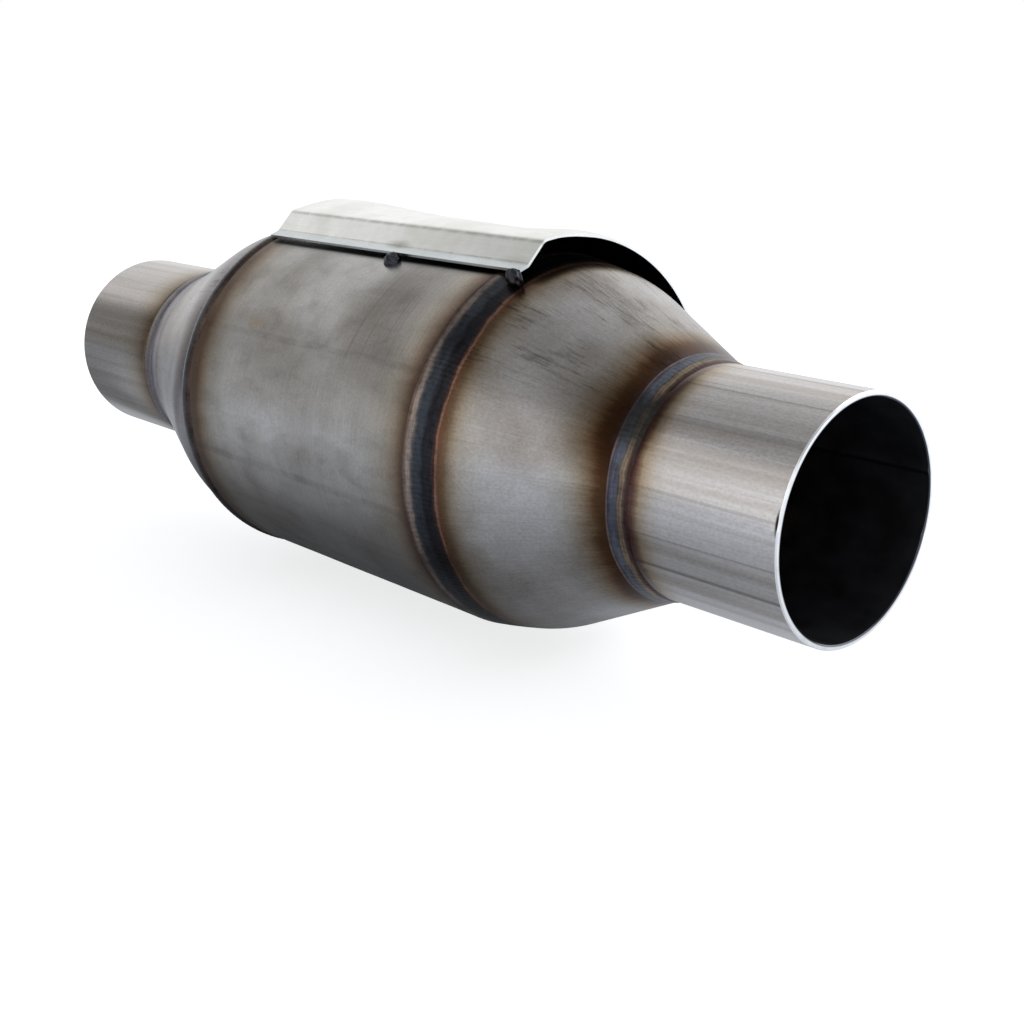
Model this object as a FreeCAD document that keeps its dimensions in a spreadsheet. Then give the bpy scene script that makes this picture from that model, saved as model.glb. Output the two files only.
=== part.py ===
import FreeCAD
import Part

import math
import os

import Sketcher

# A bare round catalytic converter with a half heat shield. The axis runs along +X from the inlet
# mouth, where the origin is, to the outlet mouth. +Z is up and the shield leans towards +Y.

doc = FreeCAD.newDocument("catalytic_converter")
sizes = doc.addObject("Spreadsheet::Sheet", "Sizes")

driving = {
    # pipes
    "pipe_radius": 31.75,
    "pipe_wall": 1.5,
    "pipe_tuck": 8.0,
    "tuck_relief": 0.4,
    "tuck_ramp": 1.5,
    "inlet_free": 50.0,
    "outlet_free": 49.881,
    # cones: the taper runs between the corners that the curves round off, the collar is the level
    # part before the neck's curve, and the shoulder's gap is from its curve to the shell's edge
    "cone_wall": 1.5,
    "inlet_collar": 0.43,
    "inlet_taper": 48.68,
    "inlet_shoulder_gap": 2.32,
    "inlet_shoulder_round": 36.0,
    "inlet_neck_round": 25.0,
    "outlet_collar": 0.1,
    "outlet_taper": 41.38,
    "outlet_shoulder_gap": 4.15,
    "outlet_shoulder_round": 41.4,
    "outlet_neck_round": 3.0,
    "cone_lap": 5.0,
    # shell
    "shell_radius": 54.4,
    "shell_wall": 1.5,
    "shell_length": 110.8,
    # weld beads: how far each one reaches from the edge that it covers, and the curve of its crown.
    # The outlet's are laid nearly flat. A collar bead starts on the cone, higher than the collar.
    "inlet_shell_bead_on_shell": 3.3,
    "inlet_shell_bead_on_cone": 4.2,
    "inlet_shell_bead_round": 5.5,
    "outlet_shell_bead_on_cone": 13.3,
    "outlet_shell_bead_round": 170.0,
    "inlet_pipe_bead_on_pipe": 3.1,
    "inlet_pipe_bead_on_cone": 3.9,
    "inlet_pipe_bead_rise": 0.2,
    "inlet_pipe_bead_round": 12.0,
    "outlet_pipe_bead_on_pipe": 4.5,
    "outlet_pipe_bead_on_cone": 2.0,
    "outlet_pipe_bead_rise": 0.55,
    "outlet_pipe_bead_round": 60.0,
    "seam_inset": 4.0,
    "seam_width": 5.0,
    "seam_round": 4.0,
    "seam_clock": 150.0,
    # substrate
    "mat_thickness": 3.9,
    "brick_gap": 5.0,
    "brick_recess": 1.5,
    "seal_width": 4.0,
    "spacer_depth": 7.0,
    "cell_pitch": 8.0,
    "cell_web": 1.1,
    "skin": 1.2,
    # heat shield
    "shield_sheet": 0.8,
    "shield_rise": 5.8,
    "shield_clock": 38.5,
    "crown_half_angle": 48.5,
    "foot_start_angle": 56.0,
    "foot_end_angle": 60.0,
    "foot_gap": 1.0,
    "bend_lag": 0.2,
    "crown_bend": 3.0,
    "foot_bend": 1.6,
    "shield_inset": 2.0,
    "shield_overhang": 9.2,
    # tack welds of the shield, turned past the edges of its feet by the tack's angle
    "tack_radius": 3.3,
    "tack_sink": 0.2,
    "tack_angle": 2.2,
    "middle_tack": 68.5,
    "end_tack_rise": 0.4,
}
for row, (alias, value) in enumerate(driving.items(), start=1):
    sizes.set(f"A{row}", alias)
    sizes.set(f"B{row}", str(value))
    sizes.setAlias(f"B{row}", alias)
doc.recompute()


def number(expression):
    """The value that an expression on the sheet has now."""
    value = sizes.evalExpression(expression)
    return float(getattr(value, "Value", value))


# Radii that follow from the driving ones
SHELL_BORE = "(Sizes.shell_radius - Sizes.shell_wall)"
FLANGE_BORE = f"({SHELL_BORE} - Sizes.cone_wall)"
PIPE_BORE = "(Sizes.pipe_radius - Sizes.pipe_wall)"
TUCK_RADIUS = "(Sizes.pipe_radius - Sizes.tuck_relief)"
COLLAR_RADIUS = f"({TUCK_RADIUS} + Sizes.cone_wall)"
BRICK_RADIUS = f"({SHELL_BORE} - Sizes.mat_thickness)"
FOOT_BORE = "(Sizes.shell_radius + Sizes.foot_gap)"
FOOT_RADIUS = f"({FOOT_BORE} + Sizes.shield_sheet)"
CROWN_RADIUS = "(Sizes.shell_radius + Sizes.shield_rise)"
CROWN_BORE = f"({CROWN_RADIUS} - Sizes.shield_sheet)"

# Slopes of the tapers, and how far the curves reach along the axis from the corners they round off
INLET_SLOPE = f"atan(({SHELL_BORE} - {COLLAR_RADIUS}) / Sizes.inlet_taper)"
OUTLET_SLOPE = f"atan(({SHELL_BORE} - {COLLAR_RADIUS}) / Sizes.outlet_taper)"
INLET_NECK_REACH = f"Sizes.inlet_neck_round * tan({INLET_SLOPE} / 2)"
INLET_SHOULDER_REACH = f"Sizes.inlet_shoulder_round * tan({INLET_SLOPE} / 2)"
OUTLET_SHOULDER_REACH = f"Sizes.outlet_shoulder_round * tan({OUTLET_SLOPE} / 2)"
OUTLET_NECK_REACH = f"Sizes.outlet_neck_round * tan({OUTLET_SLOPE} / 2)"

# Stations along the axis, as expressions on the sheet
INLET_COLLAR_END = "Sizes.inlet_free"
INLET_TOE = f"({INLET_COLLAR_END} - Sizes.inlet_pipe_bead_on_pipe)"
INLET_NECK = f"({INLET_COLLAR_END} + Sizes.inlet_collar + {INLET_NECK_REACH})"
INLET_SHOULDER = f"({INLET_NECK} + Sizes.inlet_taper)"
SHELL_START = f"({INLET_SHOULDER} + {INLET_SHOULDER_REACH} + Sizes.inlet_shoulder_gap)"
SHELL_END = f"({SHELL_START} + Sizes.shell_length)"
OUTLET_SHOULDER = f"({SHELL_END} + Sizes.outlet_shoulder_gap + {OUTLET_SHOULDER_REACH})"
OUTLET_NECK = f"({OUTLET_SHOULDER} + Sizes.outlet_taper)"
OUTLET_COLLAR_END = f"({OUTLET_NECK} + {OUTLET_NECK_REACH} + Sizes.outlet_collar)"
OUTLET_TOE = f"({OUTLET_COLLAR_END} + Sizes.outlet_pipe_bead_on_pipe)"
OUTLET_MOUTH = f"({OUTLET_COLLAR_END} + Sizes.outlet_free)"

# The bricks stand symmetrically in the shell, each between a cone's flange and the middle gap
BRICK_FRONT = f"({SHELL_START} + Sizes.cone_lap + Sizes.brick_recess)"
BRICK_REAR = f"({SHELL_END} - Sizes.cone_lap - Sizes.brick_recess)"
BRICK_LENGTH = f"(({BRICK_REAR} - {BRICK_FRONT} - Sizes.brick_gap) / 2)"
GAP_START = f"({BRICK_FRONT} + {BRICK_LENGTH})"
GAP_END = f"({GAP_START} + Sizes.brick_gap)"


def outline(body, name, role, corners):
    """Closed sketch on an origin plane. A corner is (along, across) as expressions. A corner that
    starts an arc adds its radius and its side: 1 where the arc bulges to the left of its chord."""
    sketch = body.newObject("Sketcher::SketchObject", name)
    plane = next(feature for feature in body.Origin.OriginFeatures if feature.Role == role)
    sketch.AttachmentSupport = [(plane, "")]
    sketch.MapMode = "FlatFace"
    points = [FreeCAD.Vector(number(corner[0]), number(corner[1]), 0) for corner in corners]
    # the point of each edge where it starts: an arc drawn clockwise starts at its second end
    starts = []
    for index, corner in enumerate(corners):
        here, there = points[index], points[(index + 1) % len(points)]
        if len(corner) == 2:
            sketch.addGeometry(Part.LineSegment(here, there), False)
            starts.append(1)
            continue
        radius, side = number(corner[2]), corner[3]
        chord = there - here
        left = FreeCAD.Vector(-chord.y, chord.x, 0).normalize()
        rise = radius - math.sqrt(radius ** 2 - (chord.Length / 2) ** 2)
        middle = (here + there) / 2 + left * rise * side
        sketch.addGeometry(Part.Arc(here, middle, there), False)
        starts.append(2 if side > 0 else 1)
    for index, corner in enumerate(corners):
        after = (index + 1) % len(corners)
        sketch.addConstraint(Sketcher.Constraint("Coincident", index, 3 - starts[index], after, starts[after]))
    for index, corner in enumerate(corners):
        for kind, axis, expression in (("DistanceX", -2, corner[0]), ("DistanceY", -1, corner[1])):
            if expression == "0":
                sketch.addConstraint(Sketcher.Constraint("PointOnObject", index, starts[index], axis))
                continue
            value = number(expression)
            constraint = Sketcher.Constraint(kind, -1, 1, index, starts[index], value)
            sketch.setExpression(f"Constraints[{sketch.addConstraint(constraint)}]", expression)
        if len(corner) > 2:
            constraint = Sketcher.Constraint("Radius", index, number(corner[2]))
            sketch.setExpression(f"Constraints[{sketch.addConstraint(constraint)}]", corner[2])
    return sketch


def new_body(label):
    body = doc.addObject("PartDesign::Body", label)
    body.Label = label
    return body


def revolved(label, corners):
    """Body turned about the X axis from an outline of (along the axis, radius) corners."""
    body = new_body(label)
    sketch = outline(body, f"{label}_section", "XZ_Plane", corners)
    turn = body.newObject("PartDesign::Revolution", f"{label}_turn")
    turn.Profile = sketch
    turn.ReferenceAxis = (sketch, ["H_Axis"])
    turn.Angle = 360
    sketch.Visibility = False
    doc.recompute()
    return body


def ring(label, start, end, inner, outer):
    """Plain ring between two stations and two radii."""
    return revolved(label, [(start, inner), (end, inner), (end, outer), (start, outer)])


def padded(label, corners, length):
    """Body of constant section across the axis, as long as an expression says."""
    body = new_body(label)
    sketch = outline(body, f"{label}_section", "YZ_Plane", corners)
    pad = body.newObject("PartDesign::Pad", f"{label}_pad")
    pad.Profile = sketch
    pad.setExpression("Length", length)
    sketch.Visibility = False
    doc.recompute()
    return body


def round_off(body, name, places, radius):
    """Fillet on the lengthwise edges of the body's last feature that pass through the given places."""
    base = body.Tip
    names = [f"Edge{index}" for index, edge in enumerate(base.Shape.Edges, start=1)
             if any(is_line_through(edge, place) for place in places)]
    if len(names) != len(places):
        raise RuntimeError(f"{name}: {len(names)} edges found for {len(places)} places")
    fillet = body.newObject("PartDesign::Fillet", name)
    fillet.Base = (base, names)
    fillet.setExpression("Radius", radius)
    doc.recompute()


def is_line_through(edge, place):
    """Whether an edge runs along X through a (y, z) point."""
    if not isinstance(edge.Curve, Part.Line):
        return False
    middle = edge.CenterOfMass
    across = math.hypot(middle.y - place[0], middle.z - place[1])
    return across < 1e-4 and abs(edge.BoundBox.XLength - edge.Length) < 1e-6


def pipe(label, mouth, toe, inward, tucked_end):
    """Pipe stub, sized down from its weld's toe inwards, by a short ramp, to slip into a collar."""
    sized = f"{toe} {inward} Sizes.tuck_ramp"
    return revolved(label, [
        (mouth, PIPE_BORE),
        (toe, PIPE_BORE),
        (sized, f"{TUCK_RADIUS} - Sizes.pipe_wall"),
        (tucked_end, f"{TUCK_RADIUS} - Sizes.pipe_wall"),
        (tucked_end, TUCK_RADIUS),
        (sized, TUCK_RADIUS),
        (toe, "Sizes.pipe_radius"),
        (mouth, "Sizes.pipe_radius"),
    ])


# Pipes
inlet_pipe = pipe("inlet_pipe", "0", INLET_TOE, "+", f"{INLET_COLLAR_END} + Sizes.pipe_tuck")
outlet_pipe = pipe("outlet_pipe", OUTLET_MOUTH, OUTLET_TOE, "-",
                   f"{OUTLET_COLLAR_END} - Sizes.pipe_tuck")

# Shell tube
shell = ring("shell", SHELL_START, SHELL_END, SHELL_BORE, "Sizes.shell_radius")


def cone(label, end, way):
    """Pressed cone: a flange inside the shell, a domed shoulder, a straight taper, a hollow neck and
    a collar round the pipe. The way is + where the cone narrows towards the outlet."""
    shoulder, neck, collar_end, slope = {
        "inlet": (INLET_SHOULDER, INLET_NECK, INLET_COLLAR_END, INLET_SLOPE),
        "outlet": (OUTLET_SHOULDER, OUTLET_NECK, OUTLET_COLLAR_END, OUTLET_SLOPE),
    }[end]
    shell_edge = SHELL_END if way == "+" else SHELL_START
    back = "-" if way == "+" else "+"
    flange_end = f"{shell_edge} {back} Sizes.cone_lap"
    inward = f"Sizes.cone_wall * tan({slope} / 2)"
    shoulder_round = f"Sizes.{end}_shoulder_round"
    neck_round = f"Sizes.{end}_neck_round"
    side = 1 if way == "+" else -1

    def bend(along, across, radius, lead, trail, turn):
        """The two corners where an arc rounds off a corner of the wall."""
        reach = f"({radius}) * tan({slope} / 2)"
        level = (f"{along} {lead} {reach}", across)
        sloped = (f"{along} {trail} {reach} * cos({slope})",
                  f"{across} {'-' if turn == 'shoulder' else '+'} {reach} * sin({slope})")
        return level, sloped

    shoulder_level, shoulder_slope = bend(shoulder, SHELL_BORE, shoulder_round, back, way, "shoulder")
    neck_level, neck_slope = bend(neck, COLLAR_RADIUS, neck_round, way, back, "neck")
    inner_shoulder = f"{shoulder} {back} {inward}"
    inner_neck = f"{neck} {back} {inward}"
    inside_shoulder_round = f"{shoulder_round} - Sizes.cone_wall"
    inside_neck_round = f"{neck_round} + Sizes.cone_wall"
    inner_shoulder_level, inner_shoulder_slope = bend(inner_shoulder, FLANGE_BORE, inside_shoulder_round,
                                                      back, way, "shoulder")
    inner_neck_level, inner_neck_slope = bend(inner_neck, TUCK_RADIUS, inside_neck_round,
                                              way, back, "neck")
    return revolved(label, [
        (flange_end, FLANGE_BORE),
        (flange_end, SHELL_BORE),
        shoulder_level + (shoulder_round, side),
        shoulder_slope,
        neck_slope + (neck_round, -side),
        neck_level,
        (collar_end, COLLAR_RADIUS),
        (collar_end, TUCK_RADIUS),
        inner_neck_level + (inside_neck_round, side),
        inner_neck_slope,
        inner_shoulder_slope + (inside_shoulder_round, -side),
        inner_shoulder_level,
    ])


inlet_cone = cone("inlet_cone", "inlet", "-")
outlet_cone = cone("outlet_cone", "outlet", "+")


def cut(label, base, tool):
    """Node that is what a tool leaves of a blank."""
    result = doc.addObject("Part::Cut", label)
    result.Label = label
    result.Base = base
    result.Tool = tool
    doc.recompute()
    return result


SUNK_BORE = f"({SHELL_BORE} - Sizes.cone_wall * 0.7)"


def weld_ring(end, edge, way, on_shell, cone_body):
    """Fillet bead in the step from the shell's edge down to the cone, from its toe on the shell, or
    from the very edge. Its blank dips into the cone's wall, and the cone is cut out of it, so that
    the two meet face to face."""
    label = f"{end}_shell_weld"
    side = 1 if way == "+" else -1
    toe = (on_shell or edge, "Sizes.shell_radius", f"Sizes.{end}_shell_bead_round", side)
    corners = [toe, (f"{edge} {way} Sizes.{end}_shell_bead_on_cone", SUNK_BORE), (edge, SUNK_BORE)]
    if on_shell:
        corners.append((edge, "Sizes.shell_radius"))
    blank = revolved(f"{label}_blank", corners)
    return cut(label, blank, cone_body)


inlet_shell_weld = weld_ring("inlet", SHELL_START, "-",
                             f"{SHELL_START} + Sizes.inlet_shell_bead_on_shell", inlet_cone)
outlet_shell_weld = weld_ring("outlet", SHELL_END, "+", None, outlet_cone)


def collar_weld(end, collar_end, toe, way, cone_body):
    """Fillet bead between a cone's collar and the pipe in it, flush with the free pipe at its toe."""
    label = f"{end}_pipe_weld"
    back = "-" if way == "+" else "+"
    sunk = f"({COLLAR_RADIUS} - Sizes.cone_wall * 0.4)"
    start = f"{collar_end} {back} Sizes.{end}_pipe_bead_on_cone"
    blank = revolved(f"{label}_blank", [
        (start, sunk),
        (start, f"{COLLAR_RADIUS} + Sizes.{end}_pipe_bead_rise", f"Sizes.{end}_pipe_bead_round",
         1 if way == "+" else -1),
        (toe, "Sizes.pipe_radius"),
        (f"{toe} {back} Sizes.tuck_ramp", TUCK_RADIUS),
        (collar_end, TUCK_RADIUS),
        (collar_end, sunk),
    ])
    return cut(label, blank, cone_body)


inlet_pipe_weld = collar_weld("inlet", INLET_COLLAR_END, INLET_TOE, "-", inlet_cone)
outlet_pipe_weld = collar_weld("outlet", OUTLET_COLLAR_END, OUTLET_TOE, "+", outlet_cone)

# Seam weld of the rolled shell, on its hidden side, that stops short of the two ring beads
SEAM_HALF = "(Sizes.seam_width / 2)"
SEAM_FOOT = f"sqrt(Sizes.shell_radius ^ 2 - {SEAM_HALF} ^ 2)"
shell_seam_weld = padded("shell_seam_weld", [
    (SEAM_HALF, SEAM_FOOT, "Sizes.seam_round", -1),
    (f"-{SEAM_HALF}", SEAM_FOOT, "Sizes.shell_radius", 1),
], "Sizes.shell_length - 2 * Sizes.seam_inset")
seam_turn = FreeCAD.Rotation(FreeCAD.Vector(-1, 0, 0), number("Sizes.seam_clock"))
shell_seam_weld.Placement = FreeCAD.Placement(FreeCAD.Vector(0, 0, 0), seam_turn)
shell_seam_weld.setExpression("Placement.Base.x", f"{SHELL_START} + Sizes.seam_inset")

# Mats, seals and spacer round the bricks
front_mat = ring("front_mat", f"{BRICK_FRONT} + Sizes.seal_width", GAP_START, BRICK_RADIUS, SHELL_BORE)
rear_mat = ring("rear_mat", GAP_END, f"{BRICK_REAR} - Sizes.seal_width", BRICK_RADIUS, SHELL_BORE)
inlet_seal_ring = ring("inlet_seal_ring", BRICK_FRONT, f"{BRICK_FRONT} + Sizes.seal_width",
                       BRICK_RADIUS, SHELL_BORE)
outlet_seal_ring = ring("outlet_seal_ring", f"{BRICK_REAR} - Sizes.seal_width", BRICK_REAR,
                        BRICK_RADIUS, SHELL_BORE)
spacer_ring = ring("spacer_ring", GAP_START, GAP_END, f"{SHELL_BORE} - Sizes.spacer_depth", SHELL_BORE)


def square_wire(along, across, up, width):
    """Square of the given width round a point, in a plane across the axis."""
    half = width / 2
    corners = [FreeCAD.Vector(along, across + side, up + lift)
               for side, lift in ((-half, -half), (half, -half), (half, half), (-half, half))]
    return Part.makePolygon(corners + corners[:1])


def monolith(label, start):
    """Extruded ceramic brick: a round skin full of square channels, drawn coarser than real cells."""
    radius, length = number(BRICK_RADIUS), number(BRICK_LENGTH)
    pitch, web = number("Sizes.cell_pitch"), number("Sizes.cell_web")
    reach = radius - number("Sizes.skin")
    count = int(reach // pitch)
    wires = [Part.Wire(Part.makeCircle(radius, FreeCAD.Vector(0, 0, 0), FreeCAD.Vector(1, 0, 0)))]
    for column in range(-count, count + 1):
        for row in range(-count, count + 1):
            far = math.hypot(abs(column) * pitch + (pitch - web) / 2, abs(row) * pitch + (pitch - web) / 2)
            if far < reach:
                wires.append(square_wire(0, column * pitch, row * pitch, pitch - web))
    face = Part.makeFace(Part.Compound(wires), "Part::FaceMakerBullseye")
    brick = doc.addObject("Part::Feature", label)
    brick.Label = label
    brick.Shape = face.extrude(FreeCAD.Vector(length, 0, 0))
    brick.Placement = FreeCAD.Placement(FreeCAD.Vector(number(start), 0, 0), FreeCAD.Rotation())
    return brick


front_monolith = monolith("front_monolith", BRICK_FRONT)
rear_monolith = monolith("rear_monolith", GAP_END)


def polar(radius, angle, side):
    """Point of the shield's section, as (across, up), at an angle from its middle."""
    return (f"{side}{radius} * sin({angle})", f"{radius} * cos({angle})")


CROWN = "(Sizes.crown_half_angle * 1 deg)"
FOOT_START = "(Sizes.foot_start_angle * 1 deg)"
FOOT_END = "(Sizes.foot_end_angle * 1 deg)"
INNER_CROWN = "((Sizes.crown_half_angle - Sizes.bend_lag) * 1 deg)"
INNER_FOOT_START = "((Sizes.foot_start_angle - Sizes.bend_lag) * 1 deg)"

heat_shield = padded("heat_shield", [
    polar(FOOT_RADIUS, FOOT_END, "-") + (FOOT_RADIUS, 1),
    polar(FOOT_RADIUS, FOOT_START, "-"),
    polar(CROWN_RADIUS, CROWN, "-") + (CROWN_RADIUS, 1),
    polar(CROWN_RADIUS, CROWN, ""),
    polar(FOOT_RADIUS, FOOT_START, "") + (FOOT_RADIUS, 1),
    polar(FOOT_RADIUS, FOOT_END, ""),
    polar(FOOT_BORE, FOOT_END, "") + (FOOT_BORE, -1),
    polar(FOOT_BORE, INNER_FOOT_START, ""),
    polar(CROWN_BORE, INNER_CROWN, "") + (CROWN_BORE, -1),
    polar(CROWN_BORE, INNER_CROWN, "-"),
    polar(FOOT_BORE, INNER_FOOT_START, "-") + (FOOT_BORE, -1),
    polar(FOOT_BORE, FOOT_END, "-"),
], "Sizes.shell_length - Sizes.shield_inset + Sizes.shield_overhang")
for name, radius, angle, bend in (
    ("crown_bend", CROWN_RADIUS, CROWN, "Sizes.crown_bend"),
    ("inner_crown_bend", CROWN_BORE, INNER_CROWN, "Sizes.crown_bend - Sizes.shield_sheet"),
    ("foot_bend", FOOT_RADIUS, FOOT_START, "Sizes.foot_bend"),
    ("inner_foot_bend", FOOT_BORE, INNER_FOOT_START, "Sizes.foot_bend + Sizes.shield_sheet"),
):
    places = [[number(value) for value in polar(radius, angle, side)] for side in ("-", "")]
    round_off(heat_shield, name, places, bend)
shield_turn = FreeCAD.Rotation(FreeCAD.Vector(-1, 0, 0), number("Sizes.shield_clock"))
heat_shield.Placement = FreeCAD.Placement(FreeCAD.Vector(0, 0, 0), shield_turn)
heat_shield.setExpression("Placement.Base.x", f"{SHELL_START} + Sizes.shield_inset")
doc.recompute()

# Tack welds: two blobs on each foot, one at the middle and one on the outlet shell bead
tack_core = doc.addObject("Part::Cylinder", "tack_core")
tack_core.setExpression("Radius", "Sizes.shell_radius")
tack_core.setExpression("Height", "Sizes.shell_length")
tack_core.Placement = FreeCAD.Placement(FreeCAD.Vector(number(SHELL_START), 0, 0),
                                        FreeCAD.Rotation(FreeCAD.Vector(0, 1, 0), 90))
tack_seat = doc.addObject("Part::MultiFuse", "tack_seat")
tack_seat.Shapes = [tack_core, outlet_shell_weld, outlet_cone, heat_shield]
doc.recompute()


def tacks(label, side):
    """Both blobs along one foot of the shield, with what they sit on cut out of them."""
    angle = math.radians(number("Sizes.shield_clock")
                         + side * number("Sizes.foot_end_angle + Sizes.tack_angle"))
    blobs = []
    for index, (along, rise) in enumerate((
        (f"{SHELL_START} + Sizes.middle_tack", "0"),
        (f"{SHELL_END} + Sizes.shield_overhang", "Sizes.end_tack_rise"),
    )):
        blob = doc.addObject("Part::Sphere", f"{label}_blob_{index}")
        blob.setExpression("Radius", "Sizes.tack_radius")
        radius = number(f"Sizes.shell_radius - Sizes.tack_sink + {rise}")
        place = FreeCAD.Vector(number(along), radius * math.sin(angle), radius * math.cos(angle))
        blob.Placement = FreeCAD.Placement(place, FreeCAD.Rotation())
        blobs.append(blob)
    blank = doc.addObject("Part::MultiFuse", f"{label}_blank")
    blank.Shapes = blobs
    return cut(label, blank, tack_seat)


front_tacks = tacks("front_tacks", -1)
back_tacks = tacks("back_tacks", 1)

nodes = [
    inlet_pipe, inlet_pipe_weld, inlet_cone, inlet_shell_weld, shell, shell_seam_weld,
    outlet_shell_weld, outlet_cone, outlet_pipe_weld, outlet_pipe,
    inlet_seal_ring, front_mat, front_monolith, spacer_ring, rear_monolith, rear_mat,
    outlet_seal_ring, heat_shield, front_tacks, back_tacks,
]

doc.recompute()
for item in doc.Objects:
    faults = {"Invalid", "Error"} & set(item.State)
    if faults:
        raise RuntimeError(f"{item.Label} failed: {item.State}")
for node in nodes:
    if node.Shape.isNull() or not node.Shape.isValid():
        raise RuntimeError(f"{node.Label} has no valid shape")

os.makedirs("parts", exist_ok=True)
for node in nodes:
    node.Shape.exportStep(f"parts/{node.Label}.step")
    print(f"{node.Label}: {node.Shape.Volume / 1000:.2f} cm3, {len(node.Shape.Solids)} solid")
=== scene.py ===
import math

import bmesh
import bpy
import numpy as np
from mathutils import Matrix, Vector


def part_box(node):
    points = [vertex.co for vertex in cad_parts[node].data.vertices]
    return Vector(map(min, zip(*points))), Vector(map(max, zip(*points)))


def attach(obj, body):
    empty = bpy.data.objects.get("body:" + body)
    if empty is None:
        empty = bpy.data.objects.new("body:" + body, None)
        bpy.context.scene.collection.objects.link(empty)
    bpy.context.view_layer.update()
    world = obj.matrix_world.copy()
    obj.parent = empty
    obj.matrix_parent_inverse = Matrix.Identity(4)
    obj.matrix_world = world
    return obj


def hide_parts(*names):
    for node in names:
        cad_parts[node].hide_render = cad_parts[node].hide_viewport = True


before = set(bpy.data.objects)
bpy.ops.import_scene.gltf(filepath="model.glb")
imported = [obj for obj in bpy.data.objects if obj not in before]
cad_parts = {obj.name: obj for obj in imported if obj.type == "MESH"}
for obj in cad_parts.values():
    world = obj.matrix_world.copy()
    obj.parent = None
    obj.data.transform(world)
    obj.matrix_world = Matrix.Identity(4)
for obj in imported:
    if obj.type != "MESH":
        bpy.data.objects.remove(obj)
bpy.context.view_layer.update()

bl_info = {
    "name": "Round Catalytic Converter",
    "version": (1, 0, 0),
    "blender": (4, 5, 0),
    "location": "View3D > Sidebar > Converter",
    "description": "Dresses the solids of a round exhaust converter with welded, heat-tinted steel",
    "category": "Object",
}

MM = 0.001
# Lengths below are in mm along the axis (x) and from the axis (r). The angle round the axis starts
# at +Z and grows towards +Y.
SHELL_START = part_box("shell")[0].x / MM
SHELL_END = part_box("shell")[1].x / MM
SHELL_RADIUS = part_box("shell")[1].z / MM
PIPE_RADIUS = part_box("inlet_pipe")[1].z / MM
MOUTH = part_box("outlet_pipe")[1].x / MM
SHIELD_START, SHIELD_END = (corner.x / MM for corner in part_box("heat_shield"))
WALL = 1.5
SIZING = 0.4
BORE_RADIUS = 30.25
SIZED_RADIUS = PIPE_RADIUS - SIZING
COLLAR_RADIUS = SIZED_RADIUS + WALL
BRICK_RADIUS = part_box("front_monolith")[1].z / MM
SHIELD_LEAN = math.radians(38.5)
# Where each ring weld ends along the axis: its toe on the tube or drum, and its toe on the cone
TOES = {"inlet_pipe_weld": (46.9, 53.73), "inlet_shell_weld": (116.8, 109.93),
        "outlet_shell_weld": (224.0, 236.27), "outlet_pipe_weld": (284.62, 278.25)}
# Where the oxide colours of each ring weld begin: on the tube or drum, and on the cone
TINT_STARTS = {"inlet_pipe_weld": (46.9, 53.7), "inlet_shell_weld": (116.8, 109.9),
               "outlet_shell_weld": (224.3, 236.3), "outlet_pipe_weld": (284.6, 278.25)}
# The outlet collar ends this far before the mouth
COLLAR_BACK = 49.881
# The way from the axis to the dark gap in the studio that shiny steel shows
GAP_WAY = (-0.899, -0.438, 0)


def linear(code):
    """Linear RGBA of an sRGB hex colour."""
    srgb = np.array([int(code[at:at + 2], 16) for at in (1, 3, 5)]) / 255
    return tuple(np.where(srgb <= 0.04045, srgb / 12.92, ((srgb + 0.055) / 1.055) ** 2.4)) + (1.0,)


def colour(name, description, code):
    """A colour that a user can change, with its default from a hex code."""
    return bpy.props.FloatVectorProperty(name=name, description=description, subtype="COLOR", size=4,
                                         min=0, max=1, default=linear(code))


def length(name, description, default):
    """A length in metres that a user can change, with its default in mm."""
    return bpy.props.FloatProperty(name=name, description=description, unit="LENGTH",
                                   default=default * MM, precision=5)


class ConverterSizes(bpy.types.PropertyGroup):
    ripple_pitch: length("Ripple pitch", "Distance between two ripples of a ring weld", 1.5)
    ripple_height: length("Ripple height", "How far a ripple stands out of the bead", 0.03)
    toe_wander: length("Toe wander", "How far the edges of a bead stray to either side", 0.3)
    cell_pitch: length("Cell pitch", "Distance between two channels of the honeycomb", 1.27)
    cell_web: length("Cell web", "Thickness of the wall between two channels", 0.17)
    sheet: length("Shield sheet", "Thickness of the heat shield", 0.8)
    seam_height: length("Bore seam", "Height of the long seam inside the pipe stubs", 0.35)


class ConverterColours(bpy.types.PropertyGroup):
    tube: colour("Tube steel", "Drawn stainless tube of the stubs", "#D9D7D8")
    cone: colour("Cone steel", "Pressed stainless cones", "#C0BFC0")
    drum: colour("Drum steel", "Rolled stainless drum", "#C4C2C1")
    # the dark bore colour is painted shade, with some oxide scale
    bore: colour("Bore scale", "Dark oxide scale inside the stubs", "#222329")
    shield: colour("Shield coating", "Aluminised sheet of the heat shield", "#FAFBFA")
    ceramic: colour("Ceramic", "Washcoated honeycomb", "#A08C76")
    fibre: colour("Fibre mat", "Pressed ceramic fibre round the bricks", "#D9D4C6")
    wire: colour("Wire", "Knitted wire of the seals and the spacer", "#8E8A84")
    floor: colour("Floor", "Pale studio floor", "#D0D4DA")


# Meshes

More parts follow.
